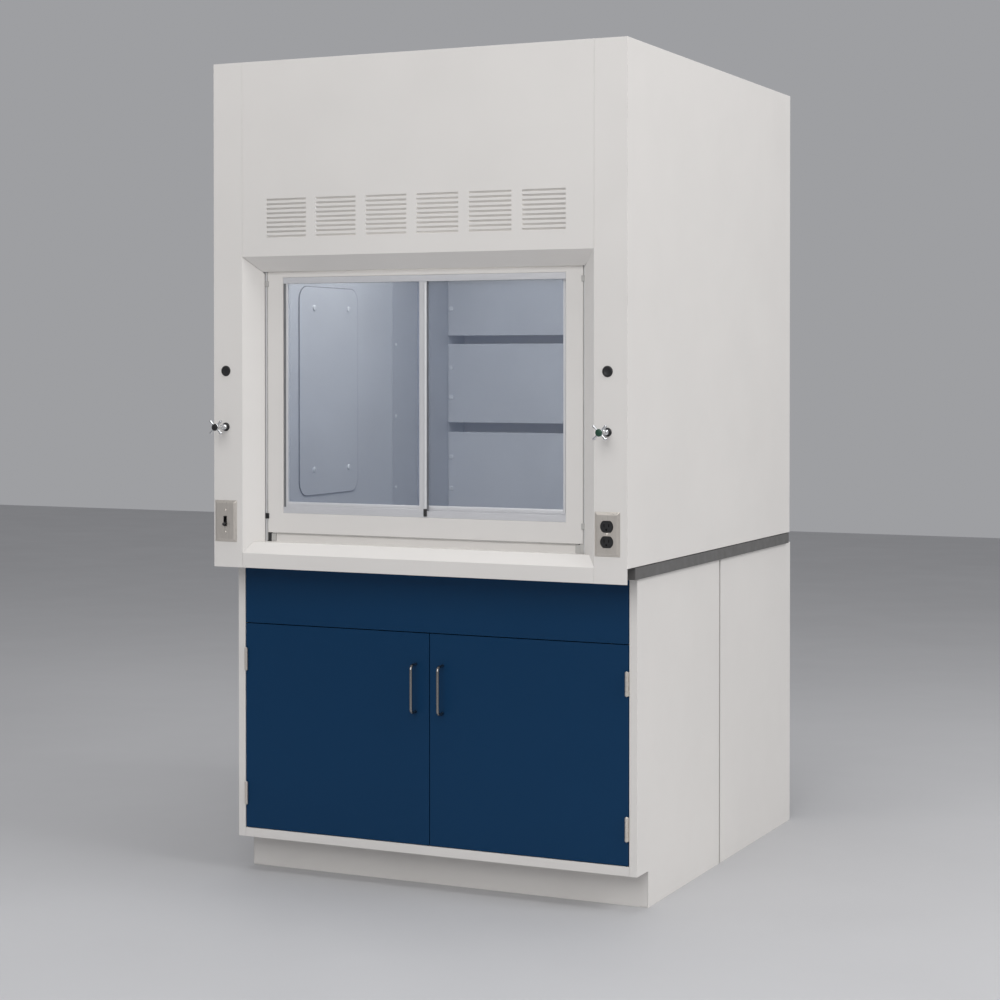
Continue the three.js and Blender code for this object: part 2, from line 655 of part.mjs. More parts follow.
// Both channels have three walls, which make two grooves for the panes.
function paneChannel(plate, web, tops) {
  const plateBox = box([-WINDOW_HALF + GAP, WINDOW_HALF - GAP],
    [WALL_YS[0], WALL_YS[2] + WALL], [plate, plate + web]);
  const walls = WALL_YS.map((y, i) => box([-WINDOW_HALF + GAP, WINDOW_HALF - GAP],
    [y, y + WALL], [plate + Math.sign(web) * 0.5, tops[i]]));
  return join(plateBox, ...walls);
}

const GLASS_THICK = 5.4;
const PANE_LOW = WINDOW_LOW + 4;
const PANE_HIGH = WINDOW_HIGH - 4;
const PANE_REACH = WINDOW_HALF - 3;

function pane(side, wall) {
  const middle = (WALL_YS[wall] + WALL + WALL_YS[wall + 1]) / 2;
  return box([side * PANE_REACH, -side * PANE_OVERLAP],
    [middle - GLASS_THICK / 2, middle + GLASS_THICK / 2], [PANE_LOW, PANE_HIGH]);
}

// A bright U-shaped strip caps the front pane's free edge.
function paneEdgeStrip() {
  const front = WALL_YS[0] + WALL + GAP;
  const back = WALL_YS[1] - GAP;
  const right = PANE_OVERLAP + 2;
  const left = right - 22;
  const wall = 1.4;
  return prism('Z', [PANE_LOW, PANE_HIGH], [[left, front], [right, front], [right, back],
    [left, back], [left, back - wall], [right - wall, back - wall],
    [right - wall, front + wall], [left, front + wall]]);
}

place('sash_frame', sashFrame(), WHITE_PAINT());
place('sash_bottom_channel', paneChannel(WINDOW_LOW + GAP, 3,
  [WINDOW_LOW + 17, WINDOW_LOW + 23, WINDOW_LOW + 28]), ALUMINIUM());
place('sash_top_channel', paneChannel(WINDOW_HIGH - GAP, -3,
  [WINDOW_HIGH - 17, WINDOW_HIGH - 17, WINDOW_HIGH - 17]), ALUMINIUM());
place('pane_left', pane(-1, 0), GLASS());
place('pane_right', pane(1, 1), GLASS());
place('pane_edge_strip', paneEdgeStrip(), ALUMINIUM());

// ---- Fittings on the corner posts ----
const PLATE_HALF_X = 35;
const PLATE_HALF_Z = 57.2;
const PLATE_DEPTH = 5.5;
const PLATE_BEVEL = 8;

// A wall plate with slanted edges. The extrusion is bevelled front and back, and only its
// front half is kept.
function bevelledPlate(side) {
  const x = fixtureX(side);
  const shape = outline(rectangle(x - PLATE_HALF_X + PLATE_BEVEL, x + PLATE_HALF_X - PLATE_BEVEL,
    PLATE_Z - PLATE_HALF_Z + PLATE_BEVEL, PLATE_Z + PLATE_HALF_Z - PLATE_BEVEL));
  const lens = new THREE.ExtrudeGeometry(shape, { depth: 1, bevelSegments: 1,
    bevelThickness: PLATE_DEPTH, bevelSize: PLATE_BEVEL });
  lens.rotateX(Math.PI / 2);
  const front = box([x - 60, x + 60], [-20, -GAP], [PLATE_Z - 90, PLATE_Z + 90]);
  return keep(lens.translate(0, 1 - GAP, 0), front);
}

const OUTLET_RADIUS = 17;
const OUTLET_SPACING = 39;

function outletFace(z, grow, y0, y1) {
  const disc = rod([FIXTURE_RIGHT, y0, z], [FIXTURE_RIGHT, y1, z], OUTLET_RADIUS + grow, 32);
  const flatTops = box([FIXTURE_RIGHT - 30, FIXTURE_RIGHT + 30], [y0 - 1, y1 + 1],
    [z - 14 - grow, z + 14 + grow]);
  return keep(disc, flatTops);
}

const outletHeights = [PLATE_Z - OUTLET_SPACING / 2, PLATE_Z + OUTLET_SPACING / 2];
const outletPlate = cut(bevelledPlate(1),
  ...outletHeights.map((z) => outletFace(z, 0.6, -20, 10)));
const receptacle = join(
  ...outletHeights.map((z) => outletFace(z, 0, -PLATE_DEPTH - 1.8, 6)),
  box([FIXTURE_RIGHT - 16, FIXTURE_RIGHT + 16], [5, 34], [PLATE_Z - 35, PLATE_Z + 35]));

const TOGGLE_PIVOT_Y = 6;
const TOGGLE_LENGTH = 24;
const TOGGLE_REST = THREE.MathUtils.degToRad(-22);

// The lever leans down, its off position.
function switchToggle() {
  const lever = new THREE.CylinderGeometry(2.8, 3.8, TOGGLE_LENGTH, 12);
  lever.translate(0, TOGGLE_LENGTH / 2, 0).rotateX(Math.PI - TOGGLE_REST);
  const x = FIXTURE_LEFT;
  lever.translate(x, TOGGLE_PIVOT_Y, PLATE_Z);
  return join(lever, rod([x - 7, TOGGLE_PIVOT_Y, PLATE_Z], [x + 7, TOGGLE_PIVOT_Y, PLATE_Z], 4.5));
}

const toggleSlot = box([FIXTURE_LEFT - 5, FIXTURE_LEFT + 5], [-20, 10],
  [PLATE_Z - 14, PLATE_Z + 14]);

const HUB_RADIUS = 10;
const STEM_TIP = -HANDLE_REACH + 14;

function valve(side) {
  const nut = SHEET + GAP;
  const profile = [[0, STEM_TIP], [4.5, STEM_TIP], [4.5, -16], [7.5, -14], [7.5, -4], [11.5, -4],
    [11.5, -GAP], [VALVE_HOLE - 0.5, -GAP], [VALVE_HOLE - 0.5, nut], [14, nut], [14, nut + 7],
    [11, nut + 7], [11, 44], [0, 44]];
  return turnedAlongY(profile, fixtureX(side), VALVE_Z, 24);
}

const ARM_REACH = 25;
const ARM_RADIUS = 2.7;

function valveHandle(side) {
  const x = fixtureX(side);
  const hub = turnedAlongY([[0, -HANDLE_REACH], [HUB_RADIUS - 1.5, -HANDLE_REACH],
    [HUB_RADIUS, -HANDLE_REACH + 1.5], [HUB_RADIUS, STEM_TIP - 5], [6, STEM_TIP - GAP],
    [0, STEM_TIP - GAP]], x, VALVE_Z, 24);
  const middle = -HANDLE_REACH + 6;
  const arms = [45, 135, 225, 315].map((degrees) => {
    const angle = THREE.MathUtils.degToRad(degrees);
    return rod([x, middle, VALVE_Z], [x + ARM_REACH * Math.cos(angle), middle,
      VALVE_Z + ARM_REACH * Math.sin(angle)], ARM_RADIUS, 12);
  });
  return join(hub, ...arms);
}

for (const [name, side] of SIDES) {
  place(`valve_${name}`, valve(side), BLACK());
  place(`valve_handle_${name}`, valveHandle(side), CHROME());
}
place('switch_plate', cut(bevelledPlate(-1), toggleSlot), STAINLESS());
place('switch_toggle', switchToggle(), BLACK());
place('outlet_plate', outletPlate, STAINLESS());
place('receptacle', receptacle, BLACK());

// ---- Whole hood, moved to its origin ----
body.position.y = -(REAR_BACK - HANDLE_REACH) / 2;
const fumeHood = new THREE.Group();
fumeHood.add(body);
export default fumeHood;
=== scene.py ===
"""A fume hood on its base cabinet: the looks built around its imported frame.

Everything is in metres, with the floor at z = 0 and the hood's front facing -Y.
"""
import json
import math

import bmesh
import bpy
from mathutils import Matrix, Vector


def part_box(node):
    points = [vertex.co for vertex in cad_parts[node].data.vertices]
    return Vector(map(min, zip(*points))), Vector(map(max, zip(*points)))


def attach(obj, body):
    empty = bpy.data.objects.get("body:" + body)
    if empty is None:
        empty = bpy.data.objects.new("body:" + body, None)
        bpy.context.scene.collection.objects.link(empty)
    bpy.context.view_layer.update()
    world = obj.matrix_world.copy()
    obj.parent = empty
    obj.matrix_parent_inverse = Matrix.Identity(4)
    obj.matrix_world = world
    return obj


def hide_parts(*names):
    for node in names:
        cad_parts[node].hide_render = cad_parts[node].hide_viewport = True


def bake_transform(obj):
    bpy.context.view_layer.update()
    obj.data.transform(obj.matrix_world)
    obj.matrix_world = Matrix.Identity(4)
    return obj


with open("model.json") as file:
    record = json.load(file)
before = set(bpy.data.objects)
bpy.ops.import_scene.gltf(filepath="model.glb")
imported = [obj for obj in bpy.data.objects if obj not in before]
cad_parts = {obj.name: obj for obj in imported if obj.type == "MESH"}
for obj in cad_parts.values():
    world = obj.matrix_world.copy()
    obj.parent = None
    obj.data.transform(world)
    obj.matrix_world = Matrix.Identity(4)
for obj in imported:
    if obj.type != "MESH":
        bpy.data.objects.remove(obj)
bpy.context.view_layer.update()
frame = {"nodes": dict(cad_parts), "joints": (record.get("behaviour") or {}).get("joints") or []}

MM = 0.001
SIDES = {"left": -1, "right": 1}
X_AXIS = Vector((1, 0, 0))
Y_AXIS = Vector((0, 1, 0))
Z_AXIS = Vector((0, 0, 1))

# ---- Places worked out from the frame ----
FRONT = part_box("corner_post_left")[0].y
HOOD_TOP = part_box("side_panel_right")[1].z
WORKTOP_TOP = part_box("worktop")[1].z
CHAMBER_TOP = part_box("ceiling_panel")[0].z


def middle(node):
    """The middle of a CAD node's box."""
    low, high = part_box(node)
    return (low + high) / 2


def joint_named(name):
    """The frame's joint of that name, with its place and range."""
    return next(joint for joint in frame["joints"] if joint["name"] == name)


# ---- Materials ----
class Finish:
    """Builds one procedural material on object coordinates, which are the row frame."""

    def __init__(self, name, roughness, metallic=0.0):
        self.material = bpy.data.materials.new(name)
        self.material.use_nodes = True
        self.nodes = self.material.node_tree.nodes
        self.links = self.material.node_tree.links
        self.shader = self.nodes["Principled BSDF"]
        self.shader.inputs["Metallic"].default_value = metallic
        self.roughness = roughness
        self.coordinates = self.nodes.new("ShaderNodeTexCoord").outputs["Object"]

    def noise(self, scale, detail=2.0, stretch=(1, 1, 1)):
        """A noise value from 0 to 1. A stretch under 1 draws the pattern out along that axis."""
        mapping = self.nodes.new("ShaderNodeMapping")
        mapping.inputs["Scale"].default_value = stretch
        texture = self.nodes.new("ShaderNodeTexNoise")
        texture.inputs["Scale"].default_value = scale
        texture.inputs["Detail"].default_value = detail
        self.links.new(self.coordinates, mapping.inputs["Vector"])
        self.links.new(mapping.outputs["Vector"], texture.inputs["Vector"])
        return texture.outputs["Fac"]

    def spread(self, value, low, high, low_in=0.3, high_in=0.7):
        """Maps a value from one range to another."""
        node = self.nodes.new("ShaderNodeMapRange")
        node.inputs["From Min"].default_value = low_in
        node.inputs["From Max"].default_value = high_in
        node.inputs["To Min"].default_value = low
        node.inputs["To Max"].default_value = high
        self.links.new(value, node.inputs["Value"])
        return node.outputs["Result"]

    def mix(self, share, first, second):
        """Mixes two colours, each a colour or an output."""
        node = self.nodes.new("ShaderNodeMix")
        node.data_type = "RGBA"
        self.links.new(share, node.inputs[0])
        for socket, colour in ((node.inputs[6], first), (node.inputs[7], second)):
            if isinstance(colour, tuple):
                socket.default_value = (*colour, 1.0)
            else:
                self.links.new(colour, socket)
        return node.outputs[2]

    def colour(self, output):
        """Sets the base colour from an output."""
        self.links.new(output, self.shader.inputs["Base Color"])

    def mottled(self, colour, amount, scale=2.5):
        """The colour, a little lighter and darker in soft clouds."""
        dark = tuple(c * (1 - amount) for c in colour)
        light = tuple(min(1.0, c * (1 + amount)) for c in colour)
        return self.mix(self.spread(self.noise(scale, 4.0), 0, 1), dark, light)

    def rough(self, change=0.12, scale=14.0, stretch=(1, 1, 1)):
        """Roughness that varies by a share of itself."""
        low = self.roughness * (1 - change)
        high = self.roughness * (1 + change)
        self.links.new(self.spread(self.noise(scale, 3.0, stretch), low, high),
                       self.shader.inputs["Roughness"])

    def bump(self, height, strength, distance):
        """Raises the surface by a height value."""
        node = self.nodes.new("ShaderNodeBump")
        node.inputs["Strength"].default_value = strength
        node.inputs["Distance"].default_value = distance
        self.links.new(height, node.inputs["Height"])
        self.links.new(node.outputs["Normal"], self.shader.inputs["Normal"])

    def edges(self, radius):
        """Near 1 along sharp outside edges and 0 on flat faces."""
        rounded = self.nodes.new("ShaderNodeBevel")
        rounded.samples = 4
        rounded.inputs["Radius"].default_value = radius
        plain = self.nodes.new("ShaderNodeNewGeometry")
        dot = self.nodes.new("ShaderNodeVectorMath")
        dot.operation = "DOT_PRODUCT"
        self.links.new(rounded.outputs["Normal"], dot.inputs[0])
        self.links.new(plain.outputs["Normal"], dot.inputs[1])
        edge = self.spread(dot.outputs["Value"], 1, 0, 0.75, 0.97)
        patchy = self.spread(self.noise(45, 3.0), 0, 1, 0.45, 0.6)
        both = self.nodes.new("ShaderNodeMath")
        both.operation = "MULTIPLY"
        self.links.new(edge, both.inputs[0])
        self.links.new(patchy, both.inputs[1])
        return both.outputs["Value"]


def powder_coat(name, colour, worn, roughness, gloss=0.5):
    """Satin powder coat: faint orange peel, soft clouds and worn edges."""
    paint = Finish(name, roughness)
    paint.colour(paint.mix(paint.edges(1.2 * MM), paint.mottled(colour, 0.025), worn))
    paint.rough()
    paint.bump(paint.noise(520, 2.0), 0.12, 0.12 * MM)
    paint.shader.inputs["Specular IOR Level"].default_value = gloss
    return paint.material


def moulded(name, colour, roughness, grain=900):
    """Moulded plastic or rubber with a fine grain."""
    plastic = Finish(name, roughness)
    plastic.colour(plastic.mottled(colour, 0.12, 18))
    plastic.rough(0.15, 60)
    plastic.bump(plastic.noise(grain, 3.0), 0.2, 0.1 * MM)
    return plastic.material


def lining(name, colour):
    """Glass-fibre lining: a faint fibre grain, clouds and light staining."""
    sheet = Finish(name, 0.46)
    stained = tuple(c * 0.86 for c in colour)
    stain = sheet.spread(sheet.noise(1.7, 6.0), 0, 0.7, 0.52, 0.8)
    sheet.colour(sheet.mix(stain, sheet.mottled(colour, 0.03, 5), stained))
    sheet.rough(0.16, 22)
    sheet.bump(sheet.noise(240, 5.0, (1, 1, 0.35)), 0.14, 0.15 * MM)
    return sheet.material


def brushed(name, colour, roughness, along, metallic=1.0, darkening=0.10):
    """Brushed metal whose grain runs along X, Y or Z.

    An anodised finish is less than fully metallic.
    """
    stretch = tuple(0.02 if axis == along else 1.0 for axis in "XYZ")
    metal = Finish(name, roughness, metallic)
    lines = metal.noise(2200, 2.0, stretch)
    dark = tuple(c * (1 - darkening) for c in colour)
    metal.colour(metal.mix(metal.spread(lines, 0, 1), dark, colour))
    metal.rough(0.25, 700, stretch)
    metal.bump(lines, 0.1, 0.05 * MM)
    return metal.material


def plated(name, colour, roughness):
    """Polished plating with faint smears."""
    metal = Finish(name, roughness, 1.0)
    metal.colour(metal.mottled(colour, 0.03, 30))
    metal.rough(0.4, 45)
    metal.bump(metal.noise(160, 2.0), 0.03, 0.05 * MM)
    return metal.material


def epoxy_resin(name):
    """Cast epoxy: near black with fine pale specks."""
    resin = Finish(name, 0.5)
    specks = resin.spread(resin.noise(700, 1.0), 0, 0.35, 0.62, 0.75)
    resin.colour(resin.mix(specks, resin.mottled((0.120, 0.117, 0.113), 0.08, 9), (0.24, 0.24, 0.24)))
    resin.rough(0.2, 30)
    resin.bump(resin.noise(420, 3.0), 0.15, 0.1 * MM)
    return resin.material


def safety_glass(name):
    """Clear glass that lets most light straight through, with a faint blue haze and smears."""
    glass = Finish(name, 0.04)
    glass.colour(glass.mottled((0.30, 0.36, 0.50), 0.08, 3))
    glass.links.new(glass.spread(glass.noise(6, 5.0), 0.02, 0.09),
                    glass.shader.inputs["Roughness"])
    glass.bump(glass.noise(2.2, 1.0), 0.02, 0.2 * MM)
    glass.shader.inputs["Alpha"].default_value = 0.17
    glass.shader.inputs["IOR"].default_value = 1.52
    return glass.material


WHITE = powder_coat("white_powder_coat", (0.745, 0.720, 0.690), (0.60, 0.57, 0.54), 0.42)
BLUE = powder_coat("blue_powder_coat", (0.0025, 0.0350, 0.0960), (0.020, 0.065, 0.14), 0.40, 0.16)
LINING = lining("chamber_lining", (0.56, 0.585, 0.62))
# Painted shade: a darker copy of the lining, for the shade on the chamber's rear side walls.
LINING_PAINTED_SHADE = lining("chamber_lining_rear_painted_shade", (0.455, 0.475, 0.505))
EPOXY = epoxy_resin("epoxy_resin")
ALUMINIUM_X = brushed("aluminium_along_x", (0.80, 0.80, 0.82), 0.40, "X", 0.6)
ALUMINIUM_Z = brushed("aluminium_along_z", (0.84, 0.84, 0.85), 0.38, "Z", 0.55)
STAINLESS = brushed("stainless_steel", (0.72, 0.67, 0.61), 0.34, "Z", 0.8)
CHROME = plated("chrome_plate", (0.66, 0.67, 0.68), 0.13)
PULL_STEEL = brushed("pull_steel", (0.30, 0.285, 0.275), 0.24, "Z")
ZINC = plated("zinc_plate", (0.46, 0.48, 0.50), 0.38)
CAST = moulded("painted_weight", (0.075, 0.078, 0.08), 0.55, 500)
BLACK = moulded("black_plastic", (0.012, 0.012, 0.013), 0.38)
GREEN = moulded("green_plastic", (0.008, 0.055, 0.030), 0.35)
RUBBER = moulded("black_rubber", (0.022, 0.022, 0.023), 0.68, 600)
GASKET = moulded("grey_gasket", (0.16, 0.165, 0.175), 0.6, 600)
PALE_VINYL = moulded("pale_vinyl", (0.50, 0.49, 0.47), 0.55, 600)
GLASS = safety_glass("safety_glass")
OPAL = moulded("opal_tube", (0.86, 0.88, 0.86), 0.25)
SCREW_CAP = moulded("lining_screw_cap", (0.68, 0.70, 0.73), 0.40)


# ---- Mesh helpers ----
SHARP = math.radians(38)


def add_box(bm, low, high):
    """A closed box between two corners."""
    low, high = Vector(low), Vector(high)
    size = Vector(abs(c) for c in high - low)
    matrix = Matrix.Translation((low + high) / 2) @ Matrix.Diagonal((*size, 1))
    bmesh.ops.create_cube(bm, size=1, matrix=matrix)


def add_turned(bm, profile, place, axis, steps=32, dent=None):
    """A turned solid. The profile is (radius, height) pairs from axis to axis along the axis.

    dent(share of the full radius, angle) lowers the surface, for a screw's recess.
    """
    turn = Z_AXIS.rotation_difference(Vector(axis)).to_matrix().to_4x4()
    matrix = Matrix.Translation(place) @ turn
    widest = max(radius for radius, _ in profile)
    rings = []
    for radius, height in profile:
        count = steps if radius > 0 else 1
        ring = []
        for i in range(count):
            angle = 2 * math.pi * i / steps
            drop = dent(radius / widest, angle) if dent else 0
            point = Vector((radius * math.cos(angle), radius * math.sin(angle), height - drop))
            ring.append(bm.verts.new(matrix @ point))
        rings.append(ring)
    for lower, upper in zip(rings, rings[1:]):
        for i in range(steps):
            corners = [lower[i % len(lower)], lower[(i + 1) % len(lower)],
                       upper[(i + 1) % len(upper)], upper[i % len(upper)]]
            unique = list(dict.fromkeys(corners))
            if len(unique) > 2:
                bm.faces.new(unique)


def add_tube(bm, points, radius, sides=10, closed=False):
    """A round tube along points, with capped ends or joined into a loop."""
    points = [Vector(p) for p in points]
    count = len(points)
    across = None
    rings = []
    for i, point in enumerate(points):
        before = points[i - 1] if closed or i else point
        after = points[(i + 1) % count] if closed or i < count - 1 else point
        along = (after - before).normalized()
        if across is None:
            across = along.orthogonal().normalized()
        across = (across - along * across.dot(along)).normalized()
        other = along.cross(across)
        ring = []
        for k in range(sides):
            angle = 2 * math.pi * k / sides
            offset = across * math.cos(angle) + other * math.sin(angle)
            ring.append(bm.verts.new(point + offset * radius))
        rings.append(ring)
    pairs = list(zip(rings, rings[1:])) + ([(rings[-1], rings[0])] if closed else [])
    for lower, upper in pairs:
        for k in range(sides):
            n = (k + 1) % sides
            bm.faces.new((lower[k], lower[n], upper[n], upper[k]))
    if not closed:
        bm.faces.new(rings[0][::-1])
        bm.faces.new(rings[-1])


def add_prism(bm, outline, start, end):
    """A closed outline, given as points of one flat face, pushed from start to end."""
    push = Vector(end) - Vector(start)
    bottom = [bm.verts.new(Vector(p) + Vector(start)) for p in outline]
    top = [bm.verts.new(v.co + push) for v in bottom]
    bm.faces.new(bottom[::-1])
    bm.faces.new(top)
    for i, vertex in enumerate(bottom):
        n = (i + 1) % len(bottom)
        bm.faces.new((vertex, bottom[n], top[n], top[i]))


def make(name, bm, material, body, bevel=0.0, replaces=(), rides=True):
    """Turns a bmesh into a named piece that rides on a body."""
    bmesh.ops.recalc_face_normals(bm, faces=bm.faces)
    mesh = bpy.data.meshes.new(name)
    bm.to_mesh(mesh)
    bm.free()
    mesh.materials.append(material)
    mesh.polygons.foreach_set("use_smooth", [True] * len(mesh.polygons))
    mesh.set_sharp_from_angle(angle=SHARP)
    piece = bpy.data.objects.new(name, mesh)
    bpy.context.scene.collection.objects.link(piece)
    if bevel:
        rounding = piece.modifiers.new("rounding", "BEVEL")
        rounding.width = bevel
        rounding.segments = 2
        rounding.limit_method = "ANGLE"
        rounding.angle_limit = SHARP
    if rides:
        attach(piece, body)
    if replaces:
        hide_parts(*replaces)
    return piece


# ---- CAD nodes kept, with rounded edges and finishes ----
def dress(node, material, rounding=0.7 * MM, angle=30, dissolve=True):
    """Gives a CAD node its finish, and rounds its edges with modifiers only.

    A pan's narrow rim is a closed ring, so pans keep their triangles instead of one face per side.
    """
    piece = frame["nodes"][node]
    piece.data.materials.clear()
    piece.data.materials.append(material)
    if not rounding:
        return
    weld = piece.modifiers.new("weld", "WELD")
    weld.merge_threshold = 0.01 * MM
    if dissolve:
        flat = piece.modifiers.new("flat", "DECIMATE")
        flat.decimate_type = "DISSOLVE"
        flat.angle_limit = math.radians(0.5)
    edge = piece.modifiers.new("edge", "BEVEL")
    edge.width = rounding
    edge.segments = 2
    edge.limit_method = "ANGLE"
    edge.angle_limit = math.radians(angle)
    normals = piece.modifiers.new("normals", "WEIGHTED_NORMAL")
    normals.keep_sharp = False


def dress_all():
    """The finish of every CAD node that stays."""
    for node in ("cabinet_floor", "toe_kick", "cabinet_back", "shelf", "airfoil_sill",
                 "header_panel", "roof_panel", "back_panel", "sash_frame"):
        dress(node, WHITE)
    dress("apron", BLUE, 0.6 * MM, dissolve=False)
    dress("worktop", EPOXY, 2.0 * MM)
    for node in ("ceiling_panel", "baffle_lower", "baffle_middle", "baffle_upper"):
        dress(node, LINING)
    dress("light_lens", GLASS)
    dress("exhaust_collar", STAINLESS)
    dress("sash_bottom_channel", ALUMINIUM_X, 0.3 * MM)
    dress("sash_top_channel", ALUMINIUM_X, 0.3 * MM)
    dress("pane_edge_strip", ALUMINIUM_Z, 0.3 * MM)
    dress("switch_plate", STAINLESS, 0.8 * MM, 10)
    dress("outlet_plate", STAINLESS, 0.8 * MM, 10)
    dress("receptacle", BLACK, 0.4 * MM)
    for side in SIDES:
        for node in ("base_side", "rear_panel", "corner_post", "side_panel"):
            dress(f"{node}_{side}", WHITE)
        dress(f"door_{side}", BLUE, 0.6 * MM, dissolve=False)
        dress(f"pull_{side}", PULL_STEEL, 0)
        dress(f"liner_{side}", LINING)
        dress(f"access_panel_{side}", LINING, 0.9 * MM)
        dress(f"sash_track_{side}", ALUMINIUM_Z, 0.4 * MM)
        # Painted shade: the left stop's black rubber also paints the shade in the left track's
        # opening; the right stop is pale vinyl.
        dress(f"sash_stop_{side}", RUBBER if side == "left" else PALE_VINYL, 1.2 * MM)
        dress(f"pulley_{side}", ZINC, 0.4 * MM)
        dress(f"counterweight_{side}", CAST, 1.5 * MM)
        dress(f"pane_{side}", GLASS, 0.6 * MM)


# ---- Screws and plugs ----
def cross_recess(share, angle):
    """The depth of a cross-shaped recess in a screw's head."""
    in_arm = share == 0 or abs(math.sin(2 * angle)) < 0.45
    return 0.9 * MM if in_arm and share < 0.62 else 0


def add_screw(bm, place, axis, radius):
    """A pan head with a cross recess, standing on its place along axis."""
    height = 0.5 * radius
    shares = (0, 0.2, 0.4, 0.6, 0.64, 0.85, 0.97, 1.0)
    dome = [(radius * s, height * (0.55 + 0.45 * math.sqrt(1 - s * s))) for s in shares]
    add_turned(bm, dome + [(radius, 0), (0, 0)], place, axis, 24, cross_recess)


def screws(name, places, axis, radius, body, material=None):
    """A group of identical screws as one piece."""
    bm = bmesh.new()
    for place in places:
        add_screw(bm, place, axis, radius)
    make(name, bm, material or ZINC, body)


PLUG_ABOVE_VALVE = 153 * MM


def hole_plug(side):
    """A black snap-in plug with a dished face, in the spare hole above the valve."""
    valve = middle(f"valve_{side}")
    place = (valve.x, FRONT, valve.z + PLUG_ABOVE_VALVE)
    profile = [(0, 1.6), (5, 1.7), (8, 2.4), (11.5, 3.2), (13.6, 2.6), (14.4, 0.9), (14.4, 0.1),
               (12.6, 0.1), (12.4, -9), (0, -9)]
    bm = bmesh.new()
    add_turned(bm, [(r * MM, h * MM) for r, h in profile], place, -Y_AXIS, 40)
    make(f"hole_plug_{side}", bm, BLACK, "frame")


# ---- Service valves ----
def valve(side):
    """Escutcheon, bonnet and stem behind the handle."""
    place = middle(f"valve_{side}")
    place.y = FRONT
    tip = (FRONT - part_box(f"valve_{side}")[0].y) / MM
    escutcheon = [(0, 4.4), (7, 4.4), (10.2, 3.8), (11.5, 2.2), (11.5, 0.3), (0, 0.3)]
    bm = bmesh.new()
    add_turned(bm, [(r * MM, h * MM) for r, h in escutcheon], place, -Y_AXIS, 40)
    make(f"valve_escutcheon_{side}", bm, BLACK, "frame",
         replaces=(f"valve_{side}",))
    bonnet = [(0, tip), (4.0, tip), (4.5, tip - 0.6), (4.5, 27), (6.2, 25.5), (6.2, 21), (5.2, 20),
              (5.2, 14), (7.6, 12.5), (7.6, 6), (6.6, 5), (6.6, 4.2), (0, 4.2)]
    bm = bmesh.new()
    add_turned(bm, [(r * MM, h * MM) for r, h in bonnet], place, -Y_AXIS, 32)
    make(f"valve_stem_{side}", bm, CHROME, "frame")
    tail = [(0, -2.4), (14, -2.4), (14, -9), (11, -9.5), (11, -43.4), (10.4, -44), (0, -44)]
    bm = bmesh.new()
    add_turned(bm, [(r * MM, h * MM) for r, h in tail], place, -Y_AXIS, 6)
    make(f"valve_body_{side}", bm, ZINC, "frame", 0.5 * MM)


def valve_handle(side, disc_material):
    """A four-armed handle with swelling arms, and the index disc on its hub."""
    low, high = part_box(f"valve_handle_{side}")
    axis = Vector(((low.x + high.x) / 2, low.y, (low.z + high.z) / 2))
    deep = (high.y - low.y) / MM
    hub = [(0, 0), (9.0, 0), (9.9, -0.7), (10, -2.2), (9.6, -6), (8, -10), (6, 0.3 - deep),
           (0, 0.3 - deep)]
    bm = bmesh.new()
    add_turned(bm, [(r * MM, h * MM) for r, h in hub], axis, -Y_AXIS, 40)
    arm = [(0, 0), (2.9, 0), (2.8, 12), (3.1, 17), (3.9, 22), (3.7, 24), (2.6, 25.2), (0, 25.6)]
    for quarter in range(4):
        angle = math.radians(45 + 90 * quarter)
        outward = Vector((math.cos(angle), 0, math.sin(angle)))
        start = axis + Y_AXIS * 6 * MM
        add_turned(bm, [(r * MM, h * MM) for r, h in arm], start, outward, 16)
    body = f"valve_handle_{side}"
    make(f"handle_cross_{side}", bm, CHROME, body, replaces=(body,))
    disc = [(0, 1.1), (8.6, 1.1), (9.5, 0.5), (9.5, -0.2), (0, -0.2)]
    bm = bmesh.new()
    add_turned(bm, [(r * MM, h * MM) for r, h in disc], axis, -Y_AXIS, 40)
    make(f"index_disc_{side}", bm, disc_material, body)


# ---- Wall plates ----
def slotted(share, angle):
    """The straight slot of a wall plate's screw."""
    return 0.6 * MM if abs(math.sin(angle)) * share < 0.2 and share < 0.9 else 0


def plate_screws(name, node, offsets):
    """Oval slotted screws on a wall plate's face."""
    low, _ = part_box(node)
    centre = middle(node)
    bm = bmesh.new()
    for offset in offsets:
        place = (centre.x, low.y, centre.z + offset)
        dome = [(3.4 * MM * s, 1.1 * MM * math.sqrt(1 - 0.9 * s * s)) for s in
                (0, 0.15, 0.3, 0.5, 0.7, 0.88, 1.0)]
        add_turned(bm, dome + [(3.4 * MM, -0.6 * MM), (0, -0.6 * MM)], place, -Y_AXIS, 24, slotted)
    make(name, bm, STAINLESS, "frame")


OUTLET_FROM_MIDDLE = 19.5 * MM


def outlet_slots():
    """Cuts the blade and ground slots into both outlet faces."""
    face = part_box("receptacle")[0].y
    centre = middle("outlet_plate")
    ground_slot = [(0, -1 * MM), (2.5 * MM, -1 * MM), (2.5 * MM, 6 * MM), (0, 6 * MM)]
    bm = bmesh.new()
    for half in (-1, 1):
        z = centre.z + half * OUTLET_FROM_MIDDLE
        for x, height in ((-6.4, 8.5), (6.4, 7.0)):
            add_box(bm, (centre.x + (x - 1) * MM, face - 1 * MM, z + 3 * MM - height / 2 * MM),
                    (centre.x + (x + 1) * MM, face + 6 * MM, z + 3 * MM + height / 2 * MM))
        add_turned(bm, ground_slot, (centre.x, face, z - 7.5 * MM), Y_AXIS, 16)
    mesh = bpy.data.meshes.new("outlet_slot_cutter")
    bmesh.ops.recalc_face_normals(bm, faces=bm.faces)
    bm.to_mesh(mesh)
    bm.free()
    cutter = bpy.data.objects.new("outlet_slot_cutter", mesh)
    bpy.context.scene.collection.objects.link(cutter)
    cutter.hide_render = True
    cutter.hide_viewport = True
    carve = frame["nodes"]["receptacle"].modifiers.new("slots", "BOOLEAN")
    carve.object = cutter
    carve.operation = "DIFFERENCE"


